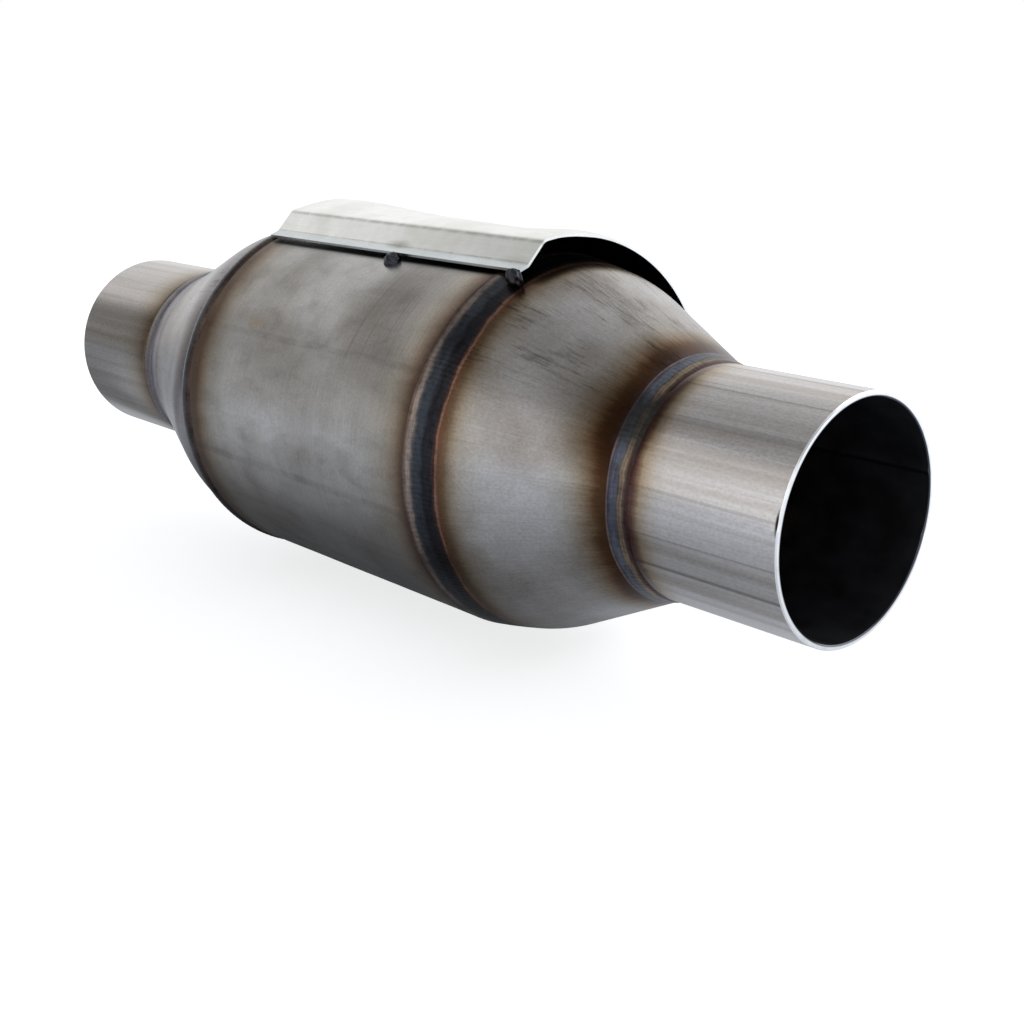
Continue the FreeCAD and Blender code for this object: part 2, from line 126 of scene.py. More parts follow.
def grid_mesh(points, closed_rows, closed_columns):
    """Quads between the neighbours of an (n, m, 3) grid of points in mm, wrapped where it is closed.
    The order of each quad is turned round where the volume inside them comes out negative."""
    rows, columns = points.shape[:2]
    i, j = np.meshgrid(np.arange(rows if closed_rows else rows - 1),
                       np.arange(columns if closed_columns else columns - 1), indexing="ij")
    down, across = (i + 1) % rows, (j + 1) % columns
    quads = np.stack([i * columns + j, down * columns + j, down * columns + across, i * columns + across],
                     -1).reshape(-1, 4)
    flat = points.reshape(-1, 3)
    a, b, c, d = (flat[quads[:, at]] for at in range(4))
    volume = np.einsum("ij,ij->i", a, np.cross(b, c)) + np.einsum("ij,ij->i", a, np.cross(c, d))
    return flat, quads if volume.sum() > 0 else quads[:, ::-1]


def finish_piece(name, flat, quads, node, materials, values=None, merge=False, picks=None):
    """Makes the mesh, smooth with sharp edges past 40 degrees, hangs the piece from the root body and hides
    its CAD node.
    Values are numbers for each point that its material reads. Picks gives each face its material."""
    mesh = bpy.data.meshes.new(name)
    mesh.from_pydata((flat * MM).tolist(), [], quads.tolist())
    for label, numbers in (values or {}).items():
        mesh.attributes.new(label, "FLOAT", "POINT").data.foreach_set(
            "value", np.asarray(numbers, np.float32).ravel())
    for material in materials:
        mesh.materials.append(material)
    if picks is not None:
        mesh.polygons.foreach_set("material_index", picks.astype(np.int32).ravel())
    if merge:
        solid = bmesh.new()
        solid.from_mesh(mesh)
        bmesh.ops.remove_doubles(solid, verts=solid.verts, dist=1e-7)
        bmesh.ops.dissolve_degenerate(solid, edges=solid.edges, dist=1e-8)
        solid.to_mesh(mesh)
        solid.free()
    mesh.shade_smooth()
    mesh.set_sharp_from_angle(angle=math.radians(40))
    piece = bpy.data.objects.new(name, mesh)
    bpy.context.scene.collection.objects.link(piece)
    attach(piece, "root")
    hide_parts(node)
    return piece


def turned(x, r, angles):
    """Points of a profile turned about the axis: (x, r sin a, r cos a), with a row for each profile
    point and a column for each angle. x and r may already vary with the angle."""
    x, r = (np.broadcast_to(v if v.ndim == 2 else v[:, None], (len(v), len(angles))) for v in (x, r))
    return np.stack([x, r * np.sin(angles), r * np.cos(angles)], -1)


def round_distance(angles, degrees, radius):
    """Distance in mm round the axis, at a radius, from the line at an angle in degrees."""
    return np.angle(np.exp(1j * (angles - math.radians(degrees)))) * radius


def stray(turns, seed, waves=9):
    """Smooth random line round the axis: a sum of sines with whole wave numbers, seeded phases and
    sizes that fall with the wave number, scaled to stay within about -1 to 1."""
    rng = np.random.default_rng(seed)
    number = np.arange(1, waves + 1)[:, None]
    phase = rng.uniform(0, 2 * np.pi, (waves, 1))
    size = rng.uniform(0.4, 1, (waves, 1)) / number ** 0.6
    return (size * np.sin(number * np.asarray(turns).ravel() + phase)).sum(0) / size.sum() * 1.7


def unevenness(x, angles, seed, wave=26.0):
    """Slight hollows of hand-worked sheet: eight products of a wave along the axis and a whole wave
    round it, with seeded phases, as an array with a row for each x."""
    rng = np.random.default_rng(seed)
    number = rng.integers(2, 8, 8)[:, None, None]
    phase = rng.uniform(0, 2 * np.pi, (2, 8))[:, :, None, None]
    along = np.sin(x[None, :, None] / wave * rng.uniform(0.6, 1.8, 8)[:, None, None] * 2 + phase[0])
    return (along * np.sin(number * angles[None, None, :] + phase[1])).mean(0)


def rounded(corners, radii, step=1.6):
    """Line through corners with each inner corner rounded by an arc of its radius. The arc starts
    radius * tan(turn / 2) before the corner, and straights are cut into steps."""
    corners = np.array(corners, float)
    pieces, last = [], corners[0]
    for corner, after, radius in zip(corners[1:-1], corners[2:], radii):
        into = (corner - last) / np.linalg.norm(corner - last)
        out = (after - corner) / np.linalg.norm(after - corner)
        turn = math.atan2(into[0] * out[1] - into[1] * out[0], into @ out)
        reach = radius * math.tan(abs(turn) / 2)
        start = corner - into * reach
        centre = start + np.array([-into[1], into[0]]) * radius * np.sign(turn)
        spoke = start - centre
        bend = np.linspace(0, turn, max(4, int(abs(turn) * radius / 0.7)))
        arc = centre + np.stack([np.cos(bend) * spoke[0] - np.sin(bend) * spoke[1],
                                 np.sin(bend) * spoke[0] + np.cos(bend) * spoke[1]], -1)
        count = max(2, int(np.linalg.norm(start - last) / step))
        pieces += [last + np.linspace(0, 1, count, endpoint=False)[:, None] * (start - last), arc[:-1]]
        last = arc[-1]
    count = max(2, int(np.linalg.norm(corners[-1] - last) / step))
    pieces.append(last + np.linspace(0, 1, count + 1)[:, None] * (corners[-1] - last))
    return np.concatenate(pieces)


def normals(line):
    """Left-hand normals of a line, one for each point."""
    along = np.gradient(line, axis=0)
    along /= np.linalg.norm(along, axis=1)[:, None]
    return np.stack([-along[:, 1], along[:, 0]], -1)


# Each cone as its solid has it: the drum's edge, its way along the axis, the step from the edge to its
# shoulder, the length of its taper, the rounds at shoulder and neck, and the end of its collar
CONES = {
    "inlet": (SHELL_START, -1, 2.32, 48.68, 36.0, 25.0, 50.0),
    "outlet": (SHELL_END, 1, 4.15, 41.38, 41.4, 3.0, MOUTH - COLLAR_BACK),
}


def cone_outline(end):
    """Outer wall of a cone as (x, r) points, from its flange in the shell to the end of its collar.
    Each corner lies where its level part and the taper would meet."""
    edge, way, gap, taper, shoulder_round, neck_round, last = CONES[end]
    bore = SHELL_RADIUS - WALL
    half = math.tan(math.atan((bore - COLLAR_RADIUS) / taper) / 2)
    shoulder = edge + way * (gap + shoulder_round * half)
    neck = shoulder + way * taper
    corners = [(edge - way * 5, bore), (shoulder, bore), (neck, COLLAR_RADIUS), (last, COLLAR_RADIUS)]
    return rounded(corners, [shoulder_round, neck_round])


def surface_radius(end, x):
    """Outer radius of a cone at x, read off its outline."""
    line = cone_outline(end)
    order = np.argsort(line[:, 0])
    return np.interp(x, line[order, 0], line[order, 1])


def crown_radius(x, start, stop, crown):
    """Radius at x of the circle of that crown that bulges outwards through two (x, r) points."""
    (x1, r1), (x2, r2) = start, stop
    span = math.hypot(x2 - x1, r2 - r1)
    depth = math.sqrt(crown ** 2 - span ** 2 / 4)
    out = np.array([-(r2 - r1), x2 - x1]) / span
    out *= np.sign(out[1])
    centre = np.array([(x1 + x2) / 2, (r1 + r2) / 2]) - out * depth
    return centre[1] + np.sqrt(crown ** 2 - (x - centre[0]) ** 2)


# The swells of the sprung crown: the place of each along the axis, its half width and its height
SPRING_SWELLS = [(125, 32, 2.45), (207, 18, -0.4), (226, 10.5, 0.75), (240, 7, -1.6)]


def crown_spring(x):
    """How far the shield's crown stands off its pressed form: a sum of bells, height * exp(-d * d),
    where d is the distance from the bell's middle in half widths."""
    return sum(height * np.exp(-((x - middle) / half) ** 2) for middle, half, height in SPRING_SWELLS)


# Materials

class Nodes:
    """Node tree of a material or of the world, with a short way to add each kind of node. A method
    returns the output of what it adds, and a colour is a hex code, a value or an output."""

    def __init__(self, tree):
        self.tree = tree
        tree.nodes.clear()

    def add(self, kind, inputs=None, output=0, stops=None, **settings):
        """Adds a node with its settings, its values or links, and the stops of a ramp."""
        node = self.tree.nodes.new("ShaderNode" + kind)
        for name, value in settings.items():
            setattr(node, name, value)
        for name, value in (inputs or {}).items():
            if isinstance(value, bpy.types.NodeSocket):
                self.tree.links.new(value, node.inputs[name])
            else:
                node.inputs[name].default_value = linear(value) if isinstance(value, str) else value
        if stops:
            ramp = node.color_ramp.elements
            while len(ramp) < len(stops):
                ramp.new(0.5)
            for element, (place, code) in zip(ramp, stops):
                element.position = place
                element.color = linear(code)
        return node.outputs[output] if node.outputs else None

    def math(self, operation, *values):
        return self.add("Math", dict(enumerate(values)), operation=operation)

    def plus(self, one, other):
        return self.math("ADD", one, other)

    def times(self, one, other):
        return self.math("MULTIPLY", one, other)

    def vector(self, operation, *values):
        """Vector arithmetic, with a number as result for a dot product or a length."""
        output = "Value" if operation in ("DOT_PRODUCT", "LENGTH") else "Vector"
        return self.add("VectorMath", dict(enumerate(values)), output, operation=operation)

    def scaled(self, place, factor):
        return self.add("VectorMath", {0: place, "Scale": factor}, operation="SCALE")

    def noise(self, place, scale=1.0, detail=3.0, roughness=0.5, distortion=0.0):
        return self.add("TexNoise", {"Vector": place, "Scale": scale, "Detail": detail,
                                     "Roughness": roughness, "Distortion": distortion})

    def contrast(self, value, low, high, bottom=0.0, top=1.0):
        """A value stretched from one range to another and clamped."""
        return self.add("MapRange", {0: value, 1: low, 2: high, 3: bottom, 4: top})

    def mix(self, factor, one, other):
        """One colour turning into another by a factor."""
        return self.add("Mix", {0: factor, 6: one, 7: other}, 2, data_type="RGBA")

    def blend(self, factor, one, other):
        """One number turning into another by a factor."""
        return self.add("Mix", {0: factor, 2: one, 3: other}, data_type="FLOAT")

    def tint(self, base, code, value=1.0, *span):
        """One colour multiplied by another, in full or by a value, which a span stretches first."""
        amount = self.contrast(value, *span) if span else value
        return self.add("Mix", {0: amount, 6: base, 7: code}, 2, data_type="RGBA", blend_type="MULTIPLY")

    def part(self, place, axis):
        return self.add("SeparateXYZ", {0: place}, axis)

    def fact(self, name):
        """A number that each point of the mesh carries."""
        return self.add("Attribute", output="Fac", attribute_name=name)

    def spot(self):
        """Place in the object's own frame, in mm."""
        return self.scaled(self.add("TexCoord", output="Object"), 1 / MM)

    def direction(self, place, kept):
        """Unit vector of a place with only the kept axes."""
        return self.vector("NORMALIZE", self.vector("MULTIPLY", place, kept))

    def unrolled(self, radius):
        """Place on a turned piece in mm: x along the axis, with the direction from the axis drawn at
        one radius, so that a pattern runs on along a taper and meets itself all the way round."""
        spot = self.spot()
        x = self.part(spot, "X")
        round_part = self.scaled(self.direction(spot, (0, 1, 1)), radius)
        return spot, x, self.vector("ADD", round_part, self.add("CombineXYZ", {"X": x}))

    def streaks(self, place, along, across, detail=3.0, roughness=0.55):
        """Noise with marks of the given length along the axis and width across it, in mm, as 0 to 1."""
        return self.noise(self.vector("MULTIPLY", place, (1 / along, 1 / across, 1 / across)), 1.0, detail,
                          roughness)

    def ragged_line(self, place, size, along, across):
        """How far a tint strays from its mean line, in mm: waves or feathers round the axis."""
        return self.math("MULTIPLY_ADD", self.streaks(place, along, across, 4.0, 0.65), size, -size / 2)

    def ragged_edge(self, place, feather, wide):
        """Fine feathers on soft waves."""
        return self.plus(self.ragged_line(place, *feather), self.ragged_line(place, *wide))

    def heat(self, base, x, start, way, ragged, stops):
        """Temper colours beside a weld: the distance from its toe in mm, made ragged by a value, runs
        through a ramp of the colours that the oxide film filters out of the bare steel."""
        reach = stops[-1][0]
        moved = self.plus(self.math("MULTIPLY_ADD", x, way, -start * way), ragged)
        film = self.add("ValToRGB", {0: self.contrast(moved, 0.0, reach)},
                        stops=[(place / reach, code) for place, code in stops])
        return self.tint(base, film)

    def facing(self, spot, degrees):
        """Cosine of the angle round the axis between a place and a line at an angle from +Z towards -Y."""
        turn = math.radians(degrees)
        line = (0.0, -math.sin(turn), math.cos(turn))
        return self.vector("DOT_PRODUCT", self.direction(spot, (0, 1, 1)), line)

    def angle_line(self, spot, degrees, width, wobble):
        """How near a place is to one line along the axis, as 1 on it and 0 past its width in mm. The
        angle is from +Z towards -Y, and the wobble moves the line a little as it runs."""
        turn = math.radians(degrees)
        across = self.vector("DOT_PRODUCT", spot, (0.0, -math.cos(turn), -math.sin(turn)))
        outward = self.vector("DOT_PRODUCT", spot, (0.0, -math.sin(turn), math.cos(turn)))
        near = self.contrast(self.math("ABSOLUTE", self.plus(across, wobble)), width / 2, width)
        return self.math("MULTIPLY_ADD", near, -1.0, self.contrast(outward, 0.0, 4.0))

    def blot(self, spot, centre, stretch):
        """Distance in mm from a place, with each axis stretched."""
        return self.vector("LENGTH", self.vector("MULTIPLY", self.vector("SUBTRACT", spot, centre), stretch))

    def surface(self, base, roughness, height, depth, others):
        """The shader with its colour, roughness, a bump of that depth in mm, and its other inputs."""
        bump = self.add("Bump", {"Strength": 1.0, "Distance": depth * MM, "Height": height})
        shader = self.add("BsdfPrincipled", {"Base Color": base, "Roughness": roughness, "Normal": bump,
                                             **others})
        self.add("OutputMaterial", {0: shader})


METAL = {"Metallic": 1.0}


def new_material(name):
    """Empty node material, and the nodes to build it from."""
    material = bpy.data.materials.new(name)
    material.use_nodes = True
    return material, Nodes(material.node_tree)


# Oxide colours beside each weld, by distance from its toe in mm, as filters on the bare steel
DRUM_OUTLET_HEAT = [(0.0, "#857069"), (1.0, "#927D6C"), (2.3, "#B39B87"), (4.3, "#D4C3B1"), (7.0, "#EAE2D4"),
                    (10.5, "#F5F2EA"), (18.0, "#FFFFFF")]
DRUM_INLET_HEAT = [(0.0, "#8A7870"), (1.5, "#8A7260"), (3.2, "#8C735C"), (5.0, "#AC967F"), (7.2, "#C6B8A6"),
                   (10.0, "#DDD7CD"), (15.0, "#F4F3F0"), (21.0, "#FFFFFF")]
CONE_OUTLET_HEAT = [(0.0, "#94705A"), (0.8, "#98785E"), (1.7, "#A0886C"), (3.7, "#D2C2AC"), (5.7, "#EAE4D8"),
                    (7.7, "#F6F3EC"), (12.0, "#FFFFFF")]
CONE_COLLAR_HEAT = [(0.0, "#6E5A54"), (1.5, "#6A4E3C"), (3.5, "#765840"), (4.5, "#8A6C50"), (6.25, "#B79F84"),
                    (8.3, "#D5C9B6"), (10.3, "#E9E4DA"), (12.5, "#F8F7F3"), (16.0, "#FFFFFF")]
CONE_SHOULDER_HEAT = [(0.0, "#C6C2C6"), (5.0, "#C6C3C6"), (10.0, "#DAD8DA"), (15.0, "#F2F1F2"),
                      (20.0, "#FFFFFF")]
CONE_INLET_HEAT = [(0.0, "#A29CA6"), (3.0, "#C2BEC8"), (7.0, "#E6E4EA"), (12.0, "#FFFFFF")]
TUBE_OUTLET_HEAT = [(0.0, "#6A5250"), (1.2, "#82605A"), (2.4, "#A58E73"), (3.4, "#CFBDA3"), (5.5, "#E6DBCA"),
                    (7.4, "#F3EEE8"), (11.0, "#FFFFFF")]
TUBE_INLET_HEAT = [(0.0, "#8A7865"), (2.0, "#A6957E"), (3.9, "#BFB1A1"), (6.5, "#D8CFC2"), (10.0, "#EDEAE0"),
                   (17.0, "#FFFFFF")]


def tube_material(colours, end):
    """Drawn and welded stainless tube: satin, with long mill lines that catch the light, dark scores
    along it, and straw to brown oxide next to its weld. The outlet's is scorched deeper where its weld
    was tied in, has a black nick beside its mouth, and dark lines at set angles along it, part scores
    and part painted reflection."""
    material, nodes = new_material(f"drawn_stainless_{end}_tube")
    spot, x, place = nodes.unrolled(PIPE_RADIUS)
    fine = nodes.streaks(place, 90.0, 0.45, 5.0, 0.7)
    broad = nodes.streaks(place, 160.0, 5.0, 2.0)
    scores = nodes.streaks(place, 220.0, 1.5, 1.0)
    grain = nodes.streaks(place, 1.1, 0.6)
    base = nodes.tint(colours.tube, "#EDEBE9", fine, 0.7, 0.3)
    base = nodes.tint(base, "#F0EFEE", grain, 0.6, 0.35)
    base = nodes.tint(base, "#DDD9D3", broad, 0.45, 0.7)
    base = nodes.tint(base, "#8E8A87", scores, 0.71, 0.76, 0.0, 0.4)
    edge = nodes.ragged_edge(place, (2.6, 12.0, 1.6), (2.4, 60.0, 16.0))
    if end == "outlet":
        # dark lines at set angles, part scores and part painted reflection: one above, the band of fine
        # ones, and two along the lower side
        wobble = nodes.math("MULTIPLY_ADD", broad, 1.2, -0.6)
        for degrees, width, depth in ((1.0, 0.5, 0.5), (24.0, 0.4, 0.35), (45.0, 1.6, 0.3), (79.0, 0.5, 0.25),
                                      (100.0, 0.4, 0.3), (116.0, 0.7, 0.55)):
            score_and_reflection_line = nodes.angle_line(spot, degrees, width, wobble)
            base = nodes.tint(base, "#77726E", score_and_reflection_line, 0.0, 1.0, 0.0, depth)
        toe = TINT_STARTS["outlet_pipe_weld"][0]
        base = nodes.heat(base, x, toe, 1, edge, TUBE_OUTLET_HEAT)
        tie = nodes.contrast(nodes.facing(spot, 40.0), 0.90, 0.97)
        base = nodes.tint(base, "#6E5846", nodes.times(tie, nodes.contrast(x, toe + 6.4, toe)))
        nick = nodes.blot(spot, (MOUTH - 0.6, -31.1, 6.2), (1.5, 0.6, 0.25))
        base = nodes.tint(base, "#3A3A3C", nick, 1.0, 0.4)
    else:
        base = nodes.heat(base, x, TINT_STARTS["inlet_pipe_weld"][0], -1, edge, TUBE_INLET_HEAT)
        base = nodes.tint(base, "#E0DDD9")
    rough = nodes.plus(nodes.contrast(fine, 0.2, 0.8, 0.13, 0.22),
                       nodes.contrast(grain, 0.2, 0.8, -0.02, 0.04))
    nodes.surface(base, rough, nodes.math("MULTIPLY_ADD", fine, 0.8, grain), 0.010, METAL)
    return material


def bore_material(colours):
    """Inside of the stubs: steel darkened by painted shade and oxide scale, with a darker line of painted
    shade in the hollow beside the seam. It is browner in the inlet, and in the outlet towards the weld."""
    material, nodes = new_material("shaded_and_scaled_bore")
    spot, x, place = nodes.unrolled(PIPE_RADIUS)
    bands = nodes.streaks(place, 60.0, 2.5, 4.0)
    # the dark bore colour is painted shade, with some oxide scale
    base = nodes.mix(nodes.contrast(bands, 0.3, 0.75), colours.bore, "#1C1C20")
    base = nodes.mix(nodes.contrast(x, MOUTH - 24.0, MOUTH - 46.0), base, "#352C26")
    base = nodes.tint(base, "#8A8A8C", nodes.noise(spot, 0.12), 0.40, 0.65)
    wobble = nodes.math("MULTIPLY_ADD", bands, 0.5, 0.5)
    # painted shade along the hollow beside the seam
    base = nodes.tint(base, "#202022", nodes.angle_line(spot, -76.0, 0.6, wobble))
    nodes.surface(base, 0.42, bands, 0.02, {"IOR": 1.6})
    return material


def rim_material():
    """Edge of a stub where the saw left bright bare metal, with painted shade on its rounded inner corner."""
    material, nodes = new_material("sawn_stainless_edge")
    spot, x, place = nodes.unrolled(PIPE_RADIUS)
    marks = nodes.streaks(place, 0.3, 3.0)
    base = nodes.mix(nodes.contrast(marks, 0.45, 0.75), "#FFFFFF", "#ECECEC")
    radius = nodes.blot(spot, (0.0, 0.0, 0.0), (0.0, 1.0, 1.0))
    # painted shade on the rounded inner corner
    base = nodes.mix(nodes.contrast(radius, PIPE_RADIUS - 0.95, PIPE_RADIUS - 1.25), base, "#4A4C52")
    nodes.surface(base, nodes.contrast(marks, 0.2, 0.8, 0.16, 0.26), marks, 0.003, METAL)
    return material


def cone_material(colours, end):
    """Pressed stainless cone: satin, with a fine grain, faint die lines along the taper, dark
    scratches where it was handled, and oxide tints that feather out from both of its welds."""
    material, nodes = new_material(f"pressed_stainless_{end}_cone")
    spot, x, place = nodes.unrolled(44.0)
    fine = nodes.streaks(place, 26.0, 0.5, 5.0, 0.72)
    broad = nodes.streaks(place, 70.0, 6.0)
    scratches = nodes.streaks(place, 13.0, 1.3, 6.0, 0.8)
    grain = nodes.streaks(place, 0.75, 0.6)
    base = nodes.tint(colours.cone, "#F0EFED", fine, 0.65, 0.35)
    base = nodes.tint(base, "#EEECEB", grain, 0.62, 0.36)
    base = nodes.tint(base, "#DEDAD6", nodes.noise(spot, 0.055), 0.4, 0.65)
    # the scratches gather in patches on the upper side
    up = nodes.part(spot, "Z")
    patches = nodes.contrast(nodes.noise(spot, 0.085, 2.0), 0.38, 0.60, 0.12, 0.0)
    less = nodes.plus(nodes.contrast(up, 8.0, 34.0, 0.25, 0.0), patches)
    base = nodes.tint(base, "#86817E", nodes.math("SUBTRACT", scratches, less), 0.46, 0.64, 0.0, 0.8)
    edge = nodes.ragged_edge(place, (3.4, 8.0, 1.1), (3.6, 60.0, 16.0))
    calm = nodes.times(edge, 0.5)
    shell_toe, pipe_toe = (TINT_STARTS[f"{end}_{weld}_weld"][1] for weld in ("shell", "pipe"))
    if end == "outlet":
        base = nodes.heat(base, x, shell_toe, 1, calm, CONE_OUTLET_HEAT)
        # the brown reaches further down the taper on the upper side, and darkens at the tie-in
        reach = nodes.plus(edge, nodes.contrast(up, 16.0, 5.0, 0.0, 2.2))
        base = nodes.heat(base, x, pipe_toe, -1, reach, CONE_COLLAR_HEAT)
        tie = nodes.contrast(nodes.facing(spot, 57.0), 0.90, 0.985)
        base = nodes.tint(base, "#BCB4AC", nodes.times(tie, nodes.contrast(x, 252.0, 268.0)))
    else:
        base = nodes.heat(base, x, shell_toe, -1, calm, CONE_SHOULDER_HEAT)
        base = nodes.heat(base, x, pipe_toe, 1, calm, CONE_INLET_HEAT)
    rough = nodes.plus(nodes.contrast(fine, 0.2, 0.8, 0.25, 0.33),
                       nodes.contrast(broad, 0.3, 0.7, -0.02, 0.03))
    nodes.surface(base, rough, nodes.math("MULTIPLY_ADD", fine, 0.5, grain), 0.012, METAL)
    return material


def drum_material(colours):
    """Rolled stainless sheet: satin mill finish, clouded by handling, with faint lines from the rolls,
    a duller ring where the sizing tool held it, a rust speck, weld tints and painted shade in the gap
    under the shield's feet."""
    material, nodes = new_material("rolled_stainless_drum")
    spot, x, place = nodes.unrolled(SHELL_RADIUS)
    cloud = nodes.noise(spot, 0.032, 2.0)
    smudge = nodes.noise(spot, 0.13, 4.0)
    fine = nodes.streaks(place, 0.5, 26.0, 4.0, 0.7)
    grain = nodes.streaks(place, 0.7, 0.7)
    waves = nodes.noise(nodes.vector("MULTIPLY", place, (0.045, 0.12, 0.12)), distortion=1.4)
    base = nodes.tint(colours.drum, "#DCDAD7", cloud, 0.40, 0.66)
    base = nodes.tint(base, "#DAD8D6", smudge, 0.5, 0.75, 0.0, 0.4)
    base = nodes.tint(base, "#DCDCDC", waves, 0.5, 0.75, 0.0, 0.6)
    base = nodes.tint(base, "#F2F1EF", fine, 0.65, 0.35)
    base = nodes.tint(base, "#F0EFEE", grain, 0.62, 0.36)
    # faint lines that the rolls left along the drum
    wobble = nodes.math("MULTIPLY_ADD", waves, 1.6, -0.8)
    broken = nodes.contrast(smudge, 0.35, 0.6, 0.3, 1.0)
    for degrees, width, depth in ((60.0, 1.4, 0.20), (102.0, 1.5, 0.28), (118.0, 1.2, 0.12),
                                  (-70.0, 1.4, 0.2)):
        line = nodes.times(nodes.angle_line(spot, degrees, width, wobble), broken)
        base = nodes.tint(base, "#8C8A88", line, 0.0, 1.0, 0.0, depth)
    # the ring where the drum was sized: darker, with soft fine lines round it
    off = nodes.plus(nodes.plus(x, -199.0), nodes.ragged_line(place, 7.0, 20.0, 30.0))
    band = nodes.times(nodes.contrast(nodes.math("ABSOLUTE", off), 5.0, 16.0, 1.0, 0.0),
                       nodes.contrast(nodes.part(spot, "Z"), 20.0, 36.0, 0.1, 0.9))
    base = nodes.tint(base, "#D0CDC9", band)
    lines = nodes.contrast(nodes.streaks(place, 0.9, 60.0, 2.0), 0.55, 0.78)
    base = nodes.tint(base, "#B4B0AC", nodes.times(lines, band))
    edge = nodes.ragged_edge(place, (1.6, 4.0, 1.6), (3.0, 60.0, 18.0))
    base = nodes.heat(base, x, TINT_STARTS["outlet_shell_weld"][0], -1, edge, DRUM_OUTLET_HEAT)
    base = nodes.heat(base, x, TINT_STARTS["inlet_shell_weld"][0], 1, edge, DRUM_INLET_HEAT)
    # a small rust-coloured speck on the upper side
    speck = nodes.math("MULTIPLY_ADD", smudge, 8.0, nodes.blot(spot, (144.5, -45.2, 30.3), (0.45, 1.0, 1.0)))
    base = nodes.tint(base, "#F4E6D6", speck, 4.0, 7.5, 0.9, 0.0)
    # painted shade in the narrow gap under the shield's feet
    base = nodes.tint(base, "#3C3D40", nodes.facing(spot, -math.degrees(SHIELD_LEAN)), 0.466, 0.482)
    rough = nodes.plus(nodes.contrast(cloud, 0.3, 0.7, 0.28, 0.36),
                       nodes.contrast(smudge, 0.4, 0.8, 0.0, 0.06))
    nodes.surface(base, rough, nodes.math("MULTIPLY_ADD", fine, 0.4, grain), 0.009, METAL)
    return material


def bead_material(name, stops, tie=None):
    """Weld metal under oxide scale. Its colours, which on the shell welds hold a painted highlight and
    painted shade, run across the bead by the place between its two toes, with mottled scale, fine ticks
    across it and streaks along it. Tie is the angle at which the weld ran over its own start."""
    material, nodes = new_material(name)
    spot, x, place = nodes.unrolled(SHELL_RADIUS)
    across = nodes.fact("across")
    speck = nodes.noise(spot, 1.3, 4.0, 0.7)
    ticks = nodes.streaks(place, 2.2, 0.5)
    drawn = nodes.streaks(place, 0.6, 9.0, 4.0)
    mottle = nodes.noise(spot, 0.45, 5.0, 0.65)
    # the colours stray across the bead, least at its toes
    swing = nodes.noise(spot, 0.16, 4.0, 0.6)
    inner = nodes.contrast(nodes.math("PINGPONG", across, 0.5), 0.0, 0.3, 0.06, 0.30)
    moved = nodes.math("MULTIPLY_ADD", nodes.plus(swing, -0.5), inner, across)
    moved = nodes.plus(nodes.math("MULTIPLY_ADD", drawn, 0.06, moved), -0.03)
    base = nodes.add("ValToRGB", {0: moved}, stops=stops)
    base = nodes.tint(base, "#C8C5CA", nodes.noise(spot, 0.07), 0.45, 0.65)
    base = nodes.tint(base, "#B8B4B0", mottle, 0.5, 0.68, 0.0, 0.7)
    base = nodes.tint(base, "#B4AEAA", ticks, 0.5, 0.3, 0.0, 0.3)
    base = nodes.tint(base, "#C8C5C4", drawn, 0.5, 0.35, 0.0, 0.6)
    base = nodes.tint(base, "#C4C0BC", nodes.fact("ripple"), 0.0, -0.9, 0.0, 0.3)
    if tie is not None:
        # rough black scale where the weld ran over its own start
        scale = nodes.mix(nodes.contrast(mottle, 0.40, 0.75), "#2A2C2D", "#484743")
        ragged = nodes.math("MULTIPLY_ADD", swing, 0.05, nodes.facing(spot, tie))
        base = nodes.mix(nodes.contrast(ragged, 0.985, 1.015, 0.0, 0.85), base, scale)
    nodes.surface(base, nodes.contrast(speck, 0.25, 0.75, 0.30, 0.44),
                  nodes.math("MULTIPLY_ADD", ticks, 0.6, speck), 0.03, METAL)
    return material


def shield_material(colours):
    """Aluminised steel sheet: a pale satin coat with soft handling marks, painted shade in its bends,
    on its foot and, dark, on the inside, and a small brown scorch beside each tack weld."""
    material, nodes = new_material("aluminised_steel_sheet")
    spot = nodes.spot()
    cloud = nodes.noise(spot, 0.06)
    lines = nodes.noise(nodes.vector("MULTIPLY", spot, (0.02, 2.2, 2.2)), 1.0, 4.0)
    blotch = nodes.noise(spot, 0.3)
    base = nodes.tint(colours.shield, "#F6F6F3", cloud, 0.4, 0.65)
    base = nodes.tint(base, "#FAFAF8", blotch, 0.4, 0.65)
    base = nodes.tint(base, "#FBFBFA", lines, 0.35, 0.6)
    # painted shade in both bends of the wall, on the foot, and, darker, on the inside
    lean = nodes.facing(spot, -math.degrees(SHIELD_LEAN))
    for at, half, depth in ((0.640, 0.010, 0.45), (0.553, 0.005, 0.40)):
        off = nodes.math("ABSOLUTE", nodes.plus(lean, -at))
        bend_shade = nodes.times(nodes.contrast(off, half, half * 0.2),
                            nodes.contrast(blotch, 0.3, 0.6, 0.4 * depth, depth))
        base = nodes.tint(base, "#8A8B86", bend_shade)
    # painted shade: the foot a little duller and bluer
    base = nodes.tint(base, "#D8DEE3", lean, 0.552, 0.542)
    # painted shade: the inside face dark
    base = nodes.tint(base, "#3E4145", nodes.fact("inside"), 0.9, 1.0)
    for along, turn, depth in ((177.5, -1, 0.6), (177.5, 1, 0.6), (228.0, -1, 0.25), (228.0, 1, 0.25)):
        angle = SHIELD_LEAN + turn * math.radians(56.5)
        centre = (along, 57.2 * math.sin(angle), 57.2 * math.cos(angle))
        ragged = nodes.math("MULTIPLY_ADD", blotch, 2.0, nodes.blot(spot, centre, (0.3, 1.0, 1.0)))
        base = nodes.tint(base, "#8A7A68", ragged, 1.4, 3.2, depth, 0.0)
    nodes.surface(base, nodes.contrast(cloud, 0.3, 0.7, 0.24, 0.31), lines, 0.002, METAL)
    return material


